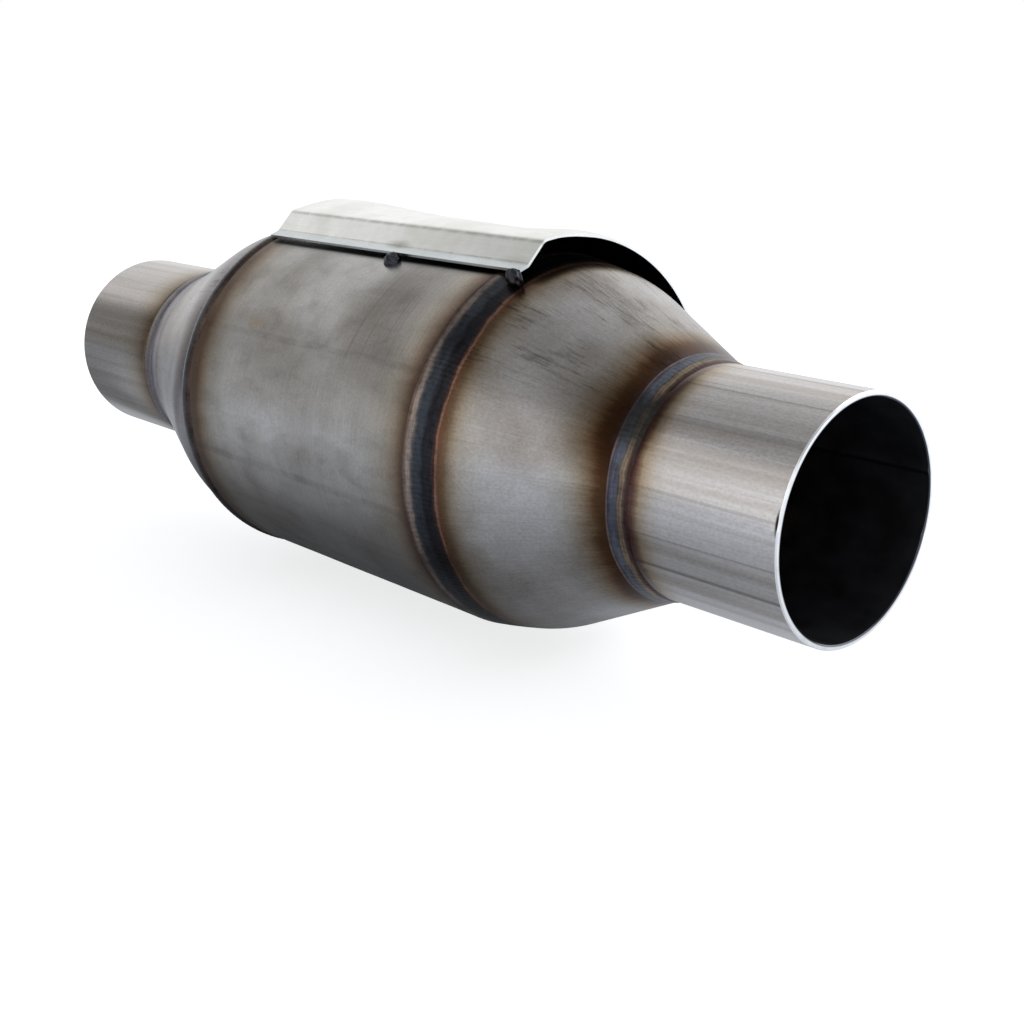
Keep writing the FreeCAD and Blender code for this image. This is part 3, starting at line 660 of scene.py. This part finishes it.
def ceramic_material(colours):
    """Extruded cordierite under a washcoat: matt, porous and slightly blotched where it soaked in."""
    material, nodes = new_material("washcoated_cordierite")
    spot = nodes.spot()
    pores = nodes.noise(spot, 4.0)
    base = nodes.mix(nodes.contrast(nodes.noise(spot, 0.07), 0.35, 0.65), colours.ceramic, "#8C7864")
    base = nodes.tint(base, "#D0C8BE", pores, 0.55, 0.35)
    nodes.surface(base, 0.9, pores, 0.03, {"IOR": 1.54})
    return material


def fibre_material(colours):
    """Needled ceramic fibre mat: soft, matt and off-white, with crossing fibres and tan binder."""
    material, nodes = new_material("ceramic_fibre_mat")
    spot = nodes.spot()
    # real fibres are a few hundredths of a mm thick: drawn 0.4 mm wide so that they show
    strands = [nodes.noise(nodes.vector("MULTIPLY", spot, stretch), distortion=1.2)
               for stretch in ((0.25, 2.4, 2.4), (2.4, 0.5, 0.5))]
    felt = nodes.math("MAXIMUM", *strands)
    base = nodes.mix(nodes.contrast(felt, 0.45, 0.7), "#B9B09C", colours.fibre)
    base = nodes.tint(base, "#D8C8AC", nodes.noise(spot, 0.12), 0.5, 0.7)
    nodes.surface(base, 0.95, felt, 0.3, {"IOR": 1.5, "Sheen Weight": 0.15})
    return material


def wire_material(colours):
    """Knitted stainless wire pressed into a ring: loops of bright wire over dark gaps."""
    material, nodes = new_material("knitted_stainless_wire")
    spot, x, place = nodes.unrolled(SHELL_RADIUS)
    # 0.28 mm wire, with its loops drawn wider than they are knitted so that they show
    loops = []
    for turn in (0.6, -0.6):
        crossed = nodes.add("Mapping", {0: place, 2: (0.0, turn, turn)})
        wave = {"Vector": crossed, "Scale": 0.25, "Distortion": 1.6, "Detail": 1.0}
        loops.append(nodes.add("TexWave", wave, 1))
    knit = nodes.math("MAXIMUM", *loops)
    base = nodes.mix(nodes.contrast(knit, 0.45, 0.8), "#2B2A29", colours.wire)
    nodes.surface(base, nodes.contrast(knit, 0.3, 0.9, 0.6, 0.34), knit, 0.25, METAL)
    return material


# Operators

class CONVERTER_OT_pipes(bpy.types.Operator):
    """Adds both pipe stubs. Each is a closed profile turned about the axis: outer wall, sized end
    under its weld, bore and a chamfered mouth. Bell curves raise a seam along the bore and press the
    flat, the notch and the nick into the outlet's mouth"""
    bl_idname = "converter.pipes"
    bl_label = "Pipe Stubs"

    def execute(self, context):
        colours, sizes = context.scene.converter_colours, context.scene.converter_sizes
        bore_steel, rim_steel = bore_material(colours), rim_material()
        angles = np.linspace(0, 2 * np.pi, 400, endpoint=False)
        # the mouth, the toe of the weld on the tube, and the end inside the collar
        for end, mouth, toe, deep, seed in (("inlet", 0.0, 46.9, 58.0, 3),
                                            ("outlet", MOUTH, 284.619, 272.119, 5)):
            materials = [tube_material(colours, end), bore_steel, rim_steel]
            way = 1 if deep > mouth else -1
            out = np.linspace(mouth + way * 0.35, toe, 24)
            back = np.linspace(deep, mouth + way * 0.25, 28)
            past = way * (back - toe)
            bore = np.clip(BORE_RADIUS - past * SIZING / 1.5, BORE_RADIUS - SIZING, BORE_RADIUS)
            x = np.concatenate([out, [toe + way * 1.5, deep], back, [mouth, mouth]])
            r = np.concatenate([np.full(24, PIPE_RADIUS), [SIZED_RADIUS, SIZED_RADIUS], bore,
                                [BORE_RADIUS + 0.25, PIPE_RADIUS - 0.3]])
            radius = r[:, None] + unevenness(x, angles, seed) * 0.05
            # the rows of the profile: 26 outside, 28 along the bore, 2 on the mouth's edge
            row = np.arange(len(x))
            gap = round_distance(angles, 76.0, BORE_RADIUS)
            in_bore = ((row >= 26) & (row < 54))[:, None]
            radius -= in_bore * sizes.seam_height / MM * np.exp(-(gap / 0.8) ** 2)
            if end == "outlet":
                # the flat that the mouth took at its far side, with a notch, and a nick at its near side
                for dent, depth, width, long in ((112.0, 0.35, 6.0, 8.0), (108.0, 0.3, 1.0, 2.0),
                                                 (-79.0, 0.14, 1.6, 1.2)):
                    near = np.exp(-((x - mouth) / long) ** 2)[:, None]
                    turn = round_distance(angles, dent, PIPE_RADIUS)
                    radius = radius - near * depth * np.exp(-(turn / width) ** 2)
            flat, quads = grid_mesh(turned(x, radius, angles), True, True)
            # faces are outside, bore or edge by the row that they start from
            picks = np.repeat(np.where(row < 26, 0, np.where(row < 53, 1, 2)), len(angles))
            finish_piece(f"{end}_pipe_tube", flat, quads, f"{end}_pipe", materials,
                         picks=picks)
        return {"FINISHED"}


class CONVERTER_OT_cones(bpy.types.Operator):
    """Adds both cones. The outline of the wall, with arcs at shoulder and neck, and the same line
    moved inwards by the wall, close into a loop that is turned about the axis"""
    bl_idname = "converter.cones"
    bl_label = "Cones"

    def execute(self, context):
        colours = context.scene.converter_colours
        angles = np.linspace(0, 2 * np.pi, 288, endpoint=False)
        for end, side, seed in (("inlet", 1, 11), ("outlet", -1, 17)):
            outer = cone_outline(end)
            inner = outer + normals(outer) * side * WALL
            line = np.concatenate([outer, inner[::-1]])
            # the hollows die out under the drum's edge
            free = np.clip((np.abs(line[:, 0] - CONES[end][0]) - 6) / 10, 0, 1)
            radius = line[:, 1][:, None] + unevenness(line[:, 0], angles, seed) * 0.12 * free[:, None]
            flat, quads = grid_mesh(turned(line[:, 0], radius, angles), True, True)
            finish_piece(f"{end}_cone_skin", flat, quads, f"{end}_cone",
                         [cone_material(colours, end)])
        return {"FINISHED"}


class CONVERTER_OT_drum(bpy.types.Operator):
    """Adds the drum: two walls and two edges in a loop turned about the axis, with the hollows of
    rolled sheet as products of sines"""
    bl_idname = "converter.drum"
    bl_label = "Drum"

    def execute(self, context):
        angles = np.linspace(0, 2 * np.pi, 384, endpoint=False)
        out = np.linspace(SHELL_START, SHELL_END, 60)
        x = np.concatenate([out, out[::-1]])
        r = np.concatenate([np.full(60, SHELL_RADIUS), np.full(60, SHELL_RADIUS - WALL)])
        ease = np.clip(np.minimum(x - SHELL_START, SHELL_END - x) / 12, 0, 1)[:, None]
        radius = r[:, None] + unevenness(x, angles, 23, 20.0) * 0.10 * ease
        flat, quads = grid_mesh(turned(x, radius, angles), True, True)
        finish_piece("drum_skin", flat, quads, "shell",
                     [drum_material(context.scene.converter_colours)])
        return {"FINISHED"}


class CONVERTER_OT_ring_welds(bpy.types.Operator):
    """Adds the four ring welds. Across the bead r follows a circle through its two toes. Round the
    axis it carries faint ripples, rounded crests with sharp grooves that trail back towards the
    toes by the square of the distance from the crest, and the toes stray sideways"""
    bl_idname = "converter.ring_welds"
    bl_label = "Ring Welds"

    def execute(self, context):
        sizes = context.scene.converter_sizes
        inlet_cone, outlet_cone = (float(surface_radius(end, TOES[f"{end}_shell_weld"][1]))
                                   for end in ("inlet", "outlet"))
        # its radius at the first toe and at the second, its crown, the edge that it closes over, its
        # seed, and its colours across from the first toe to the second: oxide, with a painted highlight and
        # painted shade on the shell welds
        beads = (
            # the inlet shell weld lightens towards the cone: oxide, and a painted highlight
            ("inlet_shell_weld", SHELL_RADIUS, inlet_cone, 5.5, SHELL_START, 31,
             [(0.0, "#6A564A"), (0.2, "#4C4644"), (0.45, "#5A5B60"), (0.75, "#8A8A8F"), (1.0, "#B0AEB2")]),
            # the outlet shell weld's pale strip by the drum's toe is a painted highlight, and its slate scale
            # darkening towards the cone is painted shade
            ("outlet_shell_weld", SHELL_RADIUS + 0.04, outlet_cone, 170.0, SHELL_END, 37,
             [(0.0, "#5C4A44"), (0.07, "#7C6C62"), (0.12, "#9A8A80"), (0.20, "#958A84"), (0.26, "#5E5C5C"),
              (0.33, "#42464C"), (0.50, "#3E434B"), (0.60, "#2A2B30"), (0.80, "#302F33"), (0.87, "#4E3A36"),
              (0.91, "#8E6C5A"), (0.96, "#7A5C4C"), (1.0, "#64493C")]),
            ("inlet_pipe_weld", 33.07, PIPE_RADIUS, 12.0, 50.0, 41,
             [(0.0, "#7E7C84"), (0.4, "#6E6A6C"), (0.7, "#5E544A"), (1.0, "#6A5A4A")]),
            ("outlet_pipe_weld", 33.37, PIPE_RADIUS, 60.0, MOUTH - COLLAR_BACK, 43,
             [(0.0, "#6E5E62"), (0.06, "#8C7A7A"), (0.12, "#565660"), (0.28, "#6E7482"), (0.45, "#6A707C"),
              (0.55, "#6C655E"), (0.60, "#9C8C78"), (0.66, "#80746A"), (0.72, "#A08E78"), (0.80, "#6E5E56"),
              (0.9, "#52423E"), (1.0, "#5A3E38")]),
        )
        for name, first, second, crown, edge, seed, stops in beads:
            end = name.split("_")[0]
            on_pipe = name.endswith("pipe_weld")
            steel_toe, cone_toe = TOES[name]
            start, stop = zip((cone_toe, steel_toe) if on_pipe else (steel_toe, cone_toe), (first, second))
            ripples = int(2 * np.pi * start[1] / (sizes.ripple_pitch / MM))
            angles = np.linspace(0, 2 * np.pi, ripples * 6, endpoint=False)
            u = np.linspace(0, 1, 24)[:, None]
            wander = sizes.toe_wander / MM
            # the widest bead strays less on the drum and more on the cone
            calm, wild = (0.6, 1.6) if name == "outlet_shell_weld" else (1.0, 1.0)
            x_start = start[0] + wander * stray(angles, seed) * calm
            x_stop = stop[0] + wander * stray(angles, seed + 1, 14) * wild
            x = x_start + u * (x_stop - x_start)
            r = crown_radius(start[0] + u * (stop[0] - start[0]), start, stop, crown) + 0 * x
            # each toe stays on the steel that it lies on while it strays
            if on_pipe:
                r += (1 - u) * (surface_radius(end, x_start) - surface_radius(end, start[0]))
            else:
                r += u * (surface_radius(end, x_stop) - surface_radius(end, stop[0]))
            if name == "outlet_shell_weld":
                r = np.where(x < SHELL_END + 0.1, np.maximum(r, SHELL_RADIUS + 0.03), r)
            phase = ripples * angles + 2.2 * stray(angles, seed + 2, 25) + 2.6 * (2 * u - 1) ** 2
            wave = 2 * np.abs(np.cos(phase / 2)) - 1
            fade = 1 - np.abs(2 * u - 1) ** 6
            strength = 0.75 + 0.35 * stray(angles, seed + 3)
            r += wave * fade * strength * sizes.ripple_height / MM - 0.02 * (1 - fade)
            low = SIZED_RADIUS if on_pipe else SHELL_RADIUS - WALL - 1.0
            x = np.concatenate([x, np.full((1, len(angles)), edge)])
            r = np.concatenate([r, np.full((1, len(angles)), low)])
            across = np.broadcast_to(np.append(u[:, 0], 0.5)[:, None], x.shape)
            ripple = np.concatenate([wave * fade, np.zeros((1, len(angles)))])
            flat, quads = grid_mesh(turned(x, r, angles), True, True)
            tie = 51.0 if name == "outlet_pipe_weld" else None
            material = bead_material(f"oxidised_{name}", stops, tie)
            finish_piece(f"{name}_bead", flat, quads, name, [material],
                         {"across": across, "ripple": ripple})
        return {"FINISHED"}


class CONVERTER_OT_seam_weld(bpy.types.Operator):
    """Adds the drum's long seam: a flat arch over its width, rippled along its length, that sinks to
    the drum's radius at its edges and is closed underneath and at both ends"""
    bl_idname = "converter.seam_weld"
    bl_label = "Drum Seam"

    def execute(self, context):
        sizes = context.scene.converter_sizes
        x = np.linspace(SHELL_START + 4.0, SHELL_END - 4.0, 560)
        u = np.linspace(-1, 1, 15)
        half = 2.4 + 0.15 * stray(x / 18.0, 51)
        phase = 2 * np.pi * x / (sizes.ripple_pitch / MM) + 2.4 * u[:, None] ** 2
        wave = 2 * np.abs(np.cos(phase / 2)) - 1
        rise = 0.75 * (1 - u[:, None] ** 2) + wave * 0.08 * (1 - u[:, None] ** 4)
        angle = math.radians(150.0) + u[:, None] * half / SHELL_RADIUS
        top = np.stack([np.broadcast_to(x, rise.shape), (SHELL_RADIUS + rise) * np.sin(angle),
                        (SHELL_RADIUS + rise) * np.cos(angle)], -1)
        low = SHELL_RADIUS - 0.25
        bottom = np.stack([np.broadcast_to(x, rise.shape), low * np.sin(angle), low * np.cos(angle)], -1)
        loop = np.concatenate([top, bottom[::-1]]).transpose(1, 0, 2)
        middle = loop.mean(1, keepdims=True) + 0 * loop
        points = np.concatenate([middle[:1], loop, middle[-1:]])
        across = np.concatenate([np.abs(u), np.abs(u[::-1])]) * 0.4 + 0.1
        values = np.broadcast_to(across, points.shape[:2])
        ripple = np.zeros(points.shape[:2])
        ripple[1:-1, :15] = wave.T
        flat, quads = grid_mesh(points, False, True)
        stops = [(0.0, "#5C6068"), (0.25, "#4E525A"), (0.45, "#7A6556"), (0.6, "#8F7358")]
        finish_piece("drum_seam_bead", flat, quads, "shell_seam_weld",
                     [bead_material("oxidised_seam_weld", stops)],
                     {"across": values, "ripple": ripple}, merge=True)
        return {"FINISHED"}


class CONVERTER_OT_heat_shield(bpy.types.Operator):
    """Adds the half shield: a section line with a crown, two short walls and two feet, rounded at
    its bends, carried along the axis and given the sheet's thickness along its normals. The crown
    stands off by a sum of bell curves along the axis"""
    bl_idname = "converter.heat_shield"
    bl_label = "Heat Shield"

    def execute(self, context):
        sizes = context.scene.converter_sizes
        sheet = sizes.sheet / MM
        crown, foot = SHELL_RADIUS + 5.8 - sheet / 2, SHELL_RADIUS + 1.0 + sheet / 2
        crown_half, foot_start, foot_end = (math.radians(a) for a in (49.3, 56.8, 60.0))
        # the points next to the crown's ends are left out, to make room for the arc of the bend
        arc = np.delete(np.linspace(-crown_half, crown_half, 90), [1, 2, 3, -4, -3, -2])
        feet = np.linspace(foot_start, foot_end, 5)
        right = np.stack([np.sin(feet), np.cos(feet)], -1) * foot
        top = np.stack([np.sin(arc), np.cos(arc)], -1) * crown
        corners = np.concatenate([right[::-1] * (-1, 1), top, right])
        # only the four real bends have a radius: where a foot meets its wall, and a wall the crown
        radii = np.full(len(corners) - 2, 0.01)
        radii[[3, -4]] = 2.0
        radii[[4, -5]] = 3.0
        line = rounded(corners, radii, 1.2)
        normal = normals(line)
        x = np.linspace(SHIELD_START, SHIELD_END, 90)
        turn = np.degrees(np.arctan2(line[:, 0], line[:, 1]))[:, None]
        # the pressing sprang: its crown stands higher at the inlet end, dips past the middle and lifts
        # again before its cut edge, and it hugs the drum a little closer on its back side
        spring = crown_spring(x)
        share = np.clip((turn + 48.5) / 18, 0, 1)
        swell = 0.6 + (spring - 0.6) * share * share * (3 - 2 * share)
        swell = swell - 1.3 * np.clip((turn + 30.5) / 46, 0, 1.2)
        swell += unevenness(x, np.radians(turn[:, 0]) * 2.0, 61, 30.0).T * 0.10
        swell *= np.clip((np.hypot(*line.T) - foot) / (crown - foot), 0, 1)[:, None]
        # out along the outer face, half a sheet above the line, and back along the inner face below it
        half = np.full(90, 0.5)
        around = np.concatenate([np.stack([x, half], -1), np.stack([x[::-1], -half], -1)])
        lift = around[:, 1] * sheet + np.concatenate([swell, swell[:, ::-1]], 1)
        across = line[:, 0][:, None] + normal[:, 0][:, None] * lift
        up = line[:, 1][:, None] + normal[:, 1][:, None] * lift
        lean_y = across * math.cos(SHIELD_LEAN) + up * math.sin(SHIELD_LEAN)
        lean_z = -across * math.sin(SHIELD_LEAN) + up * math.cos(SHIELD_LEAN)
        loops = np.stack([np.broadcast_to(around[:, 0], lean_y.shape), lean_y, lean_z], -1)
        ends = [(loops[at] + loops[at][::-1]) / 2 for at in (0, -1)]
        points = np.concatenate([ends[0][None], loops, ends[1][None]])
        inside = np.repeat((around[:, 1] < 0)[None], len(points), 0)
        inside[[0, -1]] = False
        flat, quads = grid_mesh(points, False, True)
        finish_piece("heat_shield_sheet", flat, quads, "heat_shield",
                     [shield_material(context.scene.converter_colours)],
                     {"inside": inside}, merge=True)
        return {"FINISHED"}


class CONVERTER_OT_tacks(bpy.types.Operator):
    """Adds the tack welds: a sphere pressed flat towards the axis, its radius swelled by products of
    sines into the lumps of a quick tack"""
    bl_idname = "converter.tacks"
    bl_label = "Tack Welds"

    def execute(self, context):
        stops = [(0.0, "#6A6661"), (0.3, "#474A50"), (0.7, "#3C3F46"), (1.0, "#5C4A3E")]
        material = bead_material("oxidised_tack_weld", stops)
        tilt = np.linspace(0, np.pi, 33)[:, None]
        turn = np.linspace(0, 2 * np.pi, 64, endpoint=False)
        for name, side, seed in (("front_tacks", -1, 71), ("back_tacks", 1, 73)):
            rng = np.random.default_rng(seed)
            angle = SHIELD_LEAN + side * math.radians(62.2)
            out = np.array([0.0, math.sin(angle), math.cos(angle)])
            round_way = np.array([0.0, math.cos(angle), -math.sin(angle)])
            parts, faces, ripples, count = [], [], [], 0
            # the place along the axis, how far it stands out, its breadth and how lumpy it is
            for along, rise, broad, lumpy in ((180.6, 0.0, 3.0, 0.36), (SHIELD_END - 0.6, 0.7, 1.9, 0.30)):
                phase = rng.uniform(0, 2 * np.pi, (6, 1, 1))
                number = np.arange(1, 7)[:, None, None]
                waves = np.sin(number * turn + phase) * np.sin(number * tilt + phase * 1.7)
                lumps = (waves * np.sin(tilt)).mean(0)
                swell = 0.9 + lumpy * lumps
                local = np.stack([np.sin(tilt) * np.cos(turn) * 3.3, np.sin(tilt) * np.sin(turn) * broad,
                                  np.cos(tilt) * 3.0 + 0 * turn], -1) * swell[..., None]
                centre = np.array([along, 0, 0]) + out * (SHELL_RADIUS - 0.2 + rise)
                points = centre + local @ np.stack([(1, 0, 0), round_way, out])
                flat, quads = grid_mesh(points, False, True)
                parts.append(flat)
                faces.append(quads + count)
                ripples.append(lumps.ravel() * 2)
                count += len(flat)
            flat, quads = np.concatenate(parts), np.concatenate(faces)
            ripple = np.concatenate(ripples)
            finish_piece(f"{name}_blobs", flat, quads, name, [material],
                         {"across": np.clip(ripple * 0.5 + 0.5, 0, 1), "ripple": ripple}, merge=True)
        return {"FINISHED"}


class CONVERTER_OT_honeycombs(bpy.types.Operator):
    """Adds both bricks. Four points round each square channel are repeated over a square lattice and
    at both faces. Quads line the channels and fill the webs, and a ring is the skin"""
    bl_idname = "converter.honeycombs"
    bl_label = "Honeycombs"

    def execute(self, context):
        sizes = context.scene.converter_sizes
        material = ceramic_material(context.scene.converter_colours)
        pitch, web = sizes.cell_pitch / MM, sizes.cell_web / MM
        reach = int(BRICK_RADIUS // pitch) + 1
        steps = np.arange(-reach, reach + 1)
        across, up = (v.ravel() for v in np.meshgrid(steps, steps, indexing="ij"))
        far = np.hypot((np.abs(across) + 0.5) * pitch, (np.abs(up) + 0.5) * pitch) < BRICK_RADIUS - 0.1
        side = 2 * reach + 1
        number = np.full((side + 1, side + 1), -1)
        number[across[far] + reach, up[far] + reach] = np.arange(far.sum())
        half = (pitch - web) / 2
        square = np.array([(-half, -half), (half, -half), (half, half), (-half, half)])
        centre = np.stack([across[far], up[far]], -1) * pitch
        corners = (centre[:, None] + square).reshape(-1, 2)
        cells = np.arange(far.sum())
        right = number[across[far] + reach + 1, up[far] + reach]
        above = number[across[far] + reach, up[far] + reach + 1]
        slant = number[across[far] + reach + 1, up[far] + reach + 1]
        for node in ("front_monolith", "rear_monolith"):
            low, high = (corner.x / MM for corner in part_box(node))
            points = [np.column_stack([np.full(len(corners), x), corners]) for x in (low, high)]
            total = len(corners)
            faces = []
            for at in range(4):
                a, b = cells * 4 + at, cells * 4 + (at + 1) % 4
                faces.append(np.stack([a, b, b + total, a + total], -1))
            webs = []
            has = right >= 0
            webs.append(np.stack([cells * 4 + 1, right * 4, right * 4 + 3, cells * 4 + 2], -1)[has])
            has = above >= 0
            webs.append(np.stack([cells * 4 + 3, cells * 4 + 2, above * 4 + 1, above * 4], -1)[has])
            has = (right >= 0) & (above >= 0) & (slant >= 0)
            webs.append(np.stack([cells * 4 + 2, right * 4 + 3, slant * 4, above * 4 + 1], -1)[has])
            web_faces = np.concatenate(webs)
            faces += [web_faces[:, ::-1], web_faces + total]
            angles = np.linspace(0, 2 * np.pi, 192, endpoint=False)
            # the skin covers the outermost 2 mm of both faces
            edge = BRICK_RADIUS - 2.0
            rim_x = np.array([low + 0.02, low - 0.03, low - 0.03, high + 0.03, high + 0.03, high - 0.02])
            rim_r = np.array([edge, edge, BRICK_RADIUS, BRICK_RADIUS, edge, edge])
            skin, skin_faces = grid_mesh(turned(rim_x, rim_r, angles), True, True)
            flat = np.concatenate(points + [skin])
            faces.append(skin_faces + 2 * total)
            finish_piece(f"{node}_honeycomb", flat, np.concatenate(faces), node,
                         [material])
        return {"FINISHED"}


class CONVERTER_OT_packing(bpy.types.Operator):
    """Gives the fibre mats, the wire seals and the spacer their finishes. Their solids stay"""
    bl_idname = "converter.packing"
    bl_label = "Mats and Seals"

    def execute(self, context):
        colours = context.scene.converter_colours
        fibre, wire = fibre_material(colours), wire_material(colours)
        for names, material in ((("front_mat", "rear_mat"), fibre),
                                (("inlet_seal_ring", "spacer_ring", "outlet_seal_ring"), wire)):
            for name in names:
                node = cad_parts[name]
                if not node.data.materials:
                    node.data.materials.append(material)
                for slot in node.material_slots:
                    slot.material = material
        return {"FINISHED"}


class CONVERTER_OT_stage(bpy.types.Operator):
    """Adds the camera, a pale floor with painted shade and painted light that only shiny steel sees,
    one large soft lamp and a white studio with a dim ceiling, with a dark gap between its white boards
    past the inlet"""
    bl_idname = "converter.stage"
    bl_label = "Studio"

    def execute(self, context):
        scene = context.scene
        # the camera fitted to the photograph
        camera = bpy.data.objects.new("camera", bpy.data.cameras.new("camera"))
        scene.collection.objects.link(camera)
        camera.location = (0.51837, -0.28434, 0.10281)
        aim = Vector((0.2080, 0.0, -0.0246)) - camera.location
        camera.rotation_euler = aim.to_track_quat("-Z", "Y").to_euler()
        camera.data.sensor_width = 36.0
        camera.data.lens = 51.28
        camera.data.clip_start = 0.01
        scene.camera = camera

        reach, low = 6.0, -0.0602
        corners = [(x * reach, y * reach, low) for x, y in ((-1, -1), (1, -1), (1, 1), (-1, 1))]
        floor_mesh = bpy.data.meshes.new("floor")
        floor_mesh.from_pydata(corners, [], [(0, 1, 2, 3)])
        floor = bpy.data.objects.new("floor", floor_mesh)
        scene.collection.objects.link(floor)
        material, nodes = new_material("matt_white_board")
        spot = nodes.add("TexCoord", output="Object")
        x, y = nodes.part(spot, "X"), nodes.part(spot, "Y")
        camera_ray, shiny_ray = (nodes.add("LightPath", output=f"Is {ray} Ray")
                                 for ray in ("Camera", "Glossy"))
        base = nodes.mix(nodes.noise(spot, 900.0, 2.0), scene.converter_colours.floor, "#D6DAE0")
        # the camera sees the board lifted to white, and still sees the shadow on it; shiny steel sees
        # it lifted too, and darker close to the part by painted shade
        apart = nodes.add("Mapping", {0: spot, 1: (-0.08, 0.0, 0.0), 3: (0.5, 1.0, 0.0)})
        away = nodes.vector("LENGTH", apart)
        near = nodes.contrast(away, 0.06, 0.30, 0.06, 0.36)
        # a painted dark strip, seen only by shiny steel, runs on from the gap in the studio past the inlet
        toward = nodes.vector("DOT_PRODUCT", nodes.direction(spot, (1, 1, 0)), GAP_WAY)
        under = nodes.math("MAXIMUM", nodes.contrast(away, 0.05, 0.10, 0.45, 1.0),
                           nodes.contrast(x, 0.19, 0.245, 0.45, 1.0))
        dark = nodes.times(nodes.contrast(toward, 0.96, 0.993, 1.0, 0.45), under)
        # painted light under the outlet's tube, seen only by shiny steel
        painted_light_under_tube = nodes.times(nodes.contrast(x, 0.20, 0.27), nodes.contrast(y, -0.045, -0.01, 0.0, 0.15))
        lift = nodes.times(nodes.times(shiny_ray, nodes.plus(near, painted_light_under_tube)), dark)
        share = nodes.math("MULTIPLY_ADD", camera_ray, 0.74, lift)
        tone = nodes.mix(camera_ray, (0.90, 0.96, 1.06, 1.0), (1.0, 1.0, 1.0, 1.0))
        glow = nodes.add("Emission", {0: tone, 1: share})
        grey = nodes.add("CombineXYZ", {0: dark, 1: dark, 2: dark})
        board = nodes.add("BsdfDiffuse", {"Color": nodes.tint(base, grey, shiny_ray)})
        nodes.add("OutputMaterial", {0: nodes.add("AddShader", {0: board, 1: glow})})
        floor_mesh.materials.append(material)

        data = bpy.data.lights.new("key", "AREA")
        data.shape = "SQUARE"
        data.size = 1.8
        data.energy = 16.0
        lamp = bpy.data.objects.new("key", data)
        scene.collection.objects.link(lamp)
        lamp.location = (0.80, 1.52, 0.95)
        lamp.rotation_euler = (Vector((0.17, 0, 0)) - lamp.location).to_track_quat("-Z", "Y").to_euler()

        world = bpy.data.worlds.new("studio")
        scene.world = world
        world.use_nodes = True
        nodes = Nodes(world.node_tree)
        camera_ray, shiny_ray, clear_ray = (nodes.add("LightPath", output=f"Is {ray} Ray")
                                            for ray in ("Camera", "Glossy", "Transmission"))
        way = nodes.add("TexCoord", output="Generated")
        y, z = nodes.part(way, "Y"), nodes.part(way, "Z")
        # white up to about 35 degrees above the horizon, then a dim ceiling, paler behind the object,
        # and a dark gap between the white boards past the inlet, all of which shiny steel shows
        boards = nodes.blend(nodes.contrast(z, 0.575, 0.645), 1.0, nodes.contrast(y, 0.0, 0.6, 0.42, 0.70))
        past = nodes.vector("DOT_PRODUCT", nodes.direction(way, (1, 1, 0)), GAP_WAY)
        gap = nodes.times(nodes.contrast(past, 0.95, 0.995), nodes.contrast(z, 0.38, 0.58, 1.0, 0.25))
        room = nodes.blend(gap, boards, 0.34)
        soft = nodes.blend(nodes.math("MAXIMUM", shiny_ray, clear_ray), 0.5, room)
        level = nodes.blend(camera_ray, soft, 1.0)
        nodes.add("OutputWorld", {0: nodes.add("Background", {0: (1, 1, 1, 1), 1: level})})
        scene.view_settings.view_transform = "Standard"
        return {"FINISHED"}


class CONVERTER_PT_panel(bpy.types.Panel):
    bl_idname = "CONVERTER_PT_panel"
    bl_label = "Converter"
    bl_space_type = "VIEW_3D"
    bl_region_type = "UI"
    bl_category = "Converter"

    def draw(self, context):
        for operator in OPERATORS:
            self.layout.operator(operator.bl_idname)
        for group in (context.scene.converter_sizes, context.scene.converter_colours):
            box = self.layout.box()
            for name in group.__annotations__:
                box.prop(group, name)


OPERATORS = (CONVERTER_OT_stage, CONVERTER_OT_pipes, CONVERTER_OT_cones, CONVERTER_OT_drum,
             CONVERTER_OT_ring_welds, CONVERTER_OT_seam_weld, CONVERTER_OT_heat_shield,
             CONVERTER_OT_tacks, CONVERTER_OT_honeycombs, CONVERTER_OT_packing)
CLASSES = (ConverterSizes, ConverterColours) + OPERATORS + (CONVERTER_PT_panel,)


def register():
    for item in CLASSES:
        bpy.utils.register_class(item)
    bpy.types.Scene.converter_sizes = bpy.props.PointerProperty(type=ConverterSizes)
    bpy.types.Scene.converter_colours = bpy.props.PointerProperty(type=ConverterColours)


def unregister():
    del bpy.types.Scene.converter_sizes
    del bpy.types.Scene.converter_colours
    for item in reversed(CLASSES):
        bpy.utils.unregister_class(item)


def main():
    register()
    bpy.ops.converter.stage()
    bpy.ops.converter.pipes()
    bpy.ops.converter.cones()
    bpy.ops.converter.drum()
    bpy.ops.converter.ring_welds()
    bpy.ops.converter.seam_weld()
    bpy.ops.converter.heat_shield()
    bpy.ops.converter.tacks()
    bpy.ops.converter.honeycombs()
    bpy.ops.converter.packing()


if __name__ == "__main__":
    main()
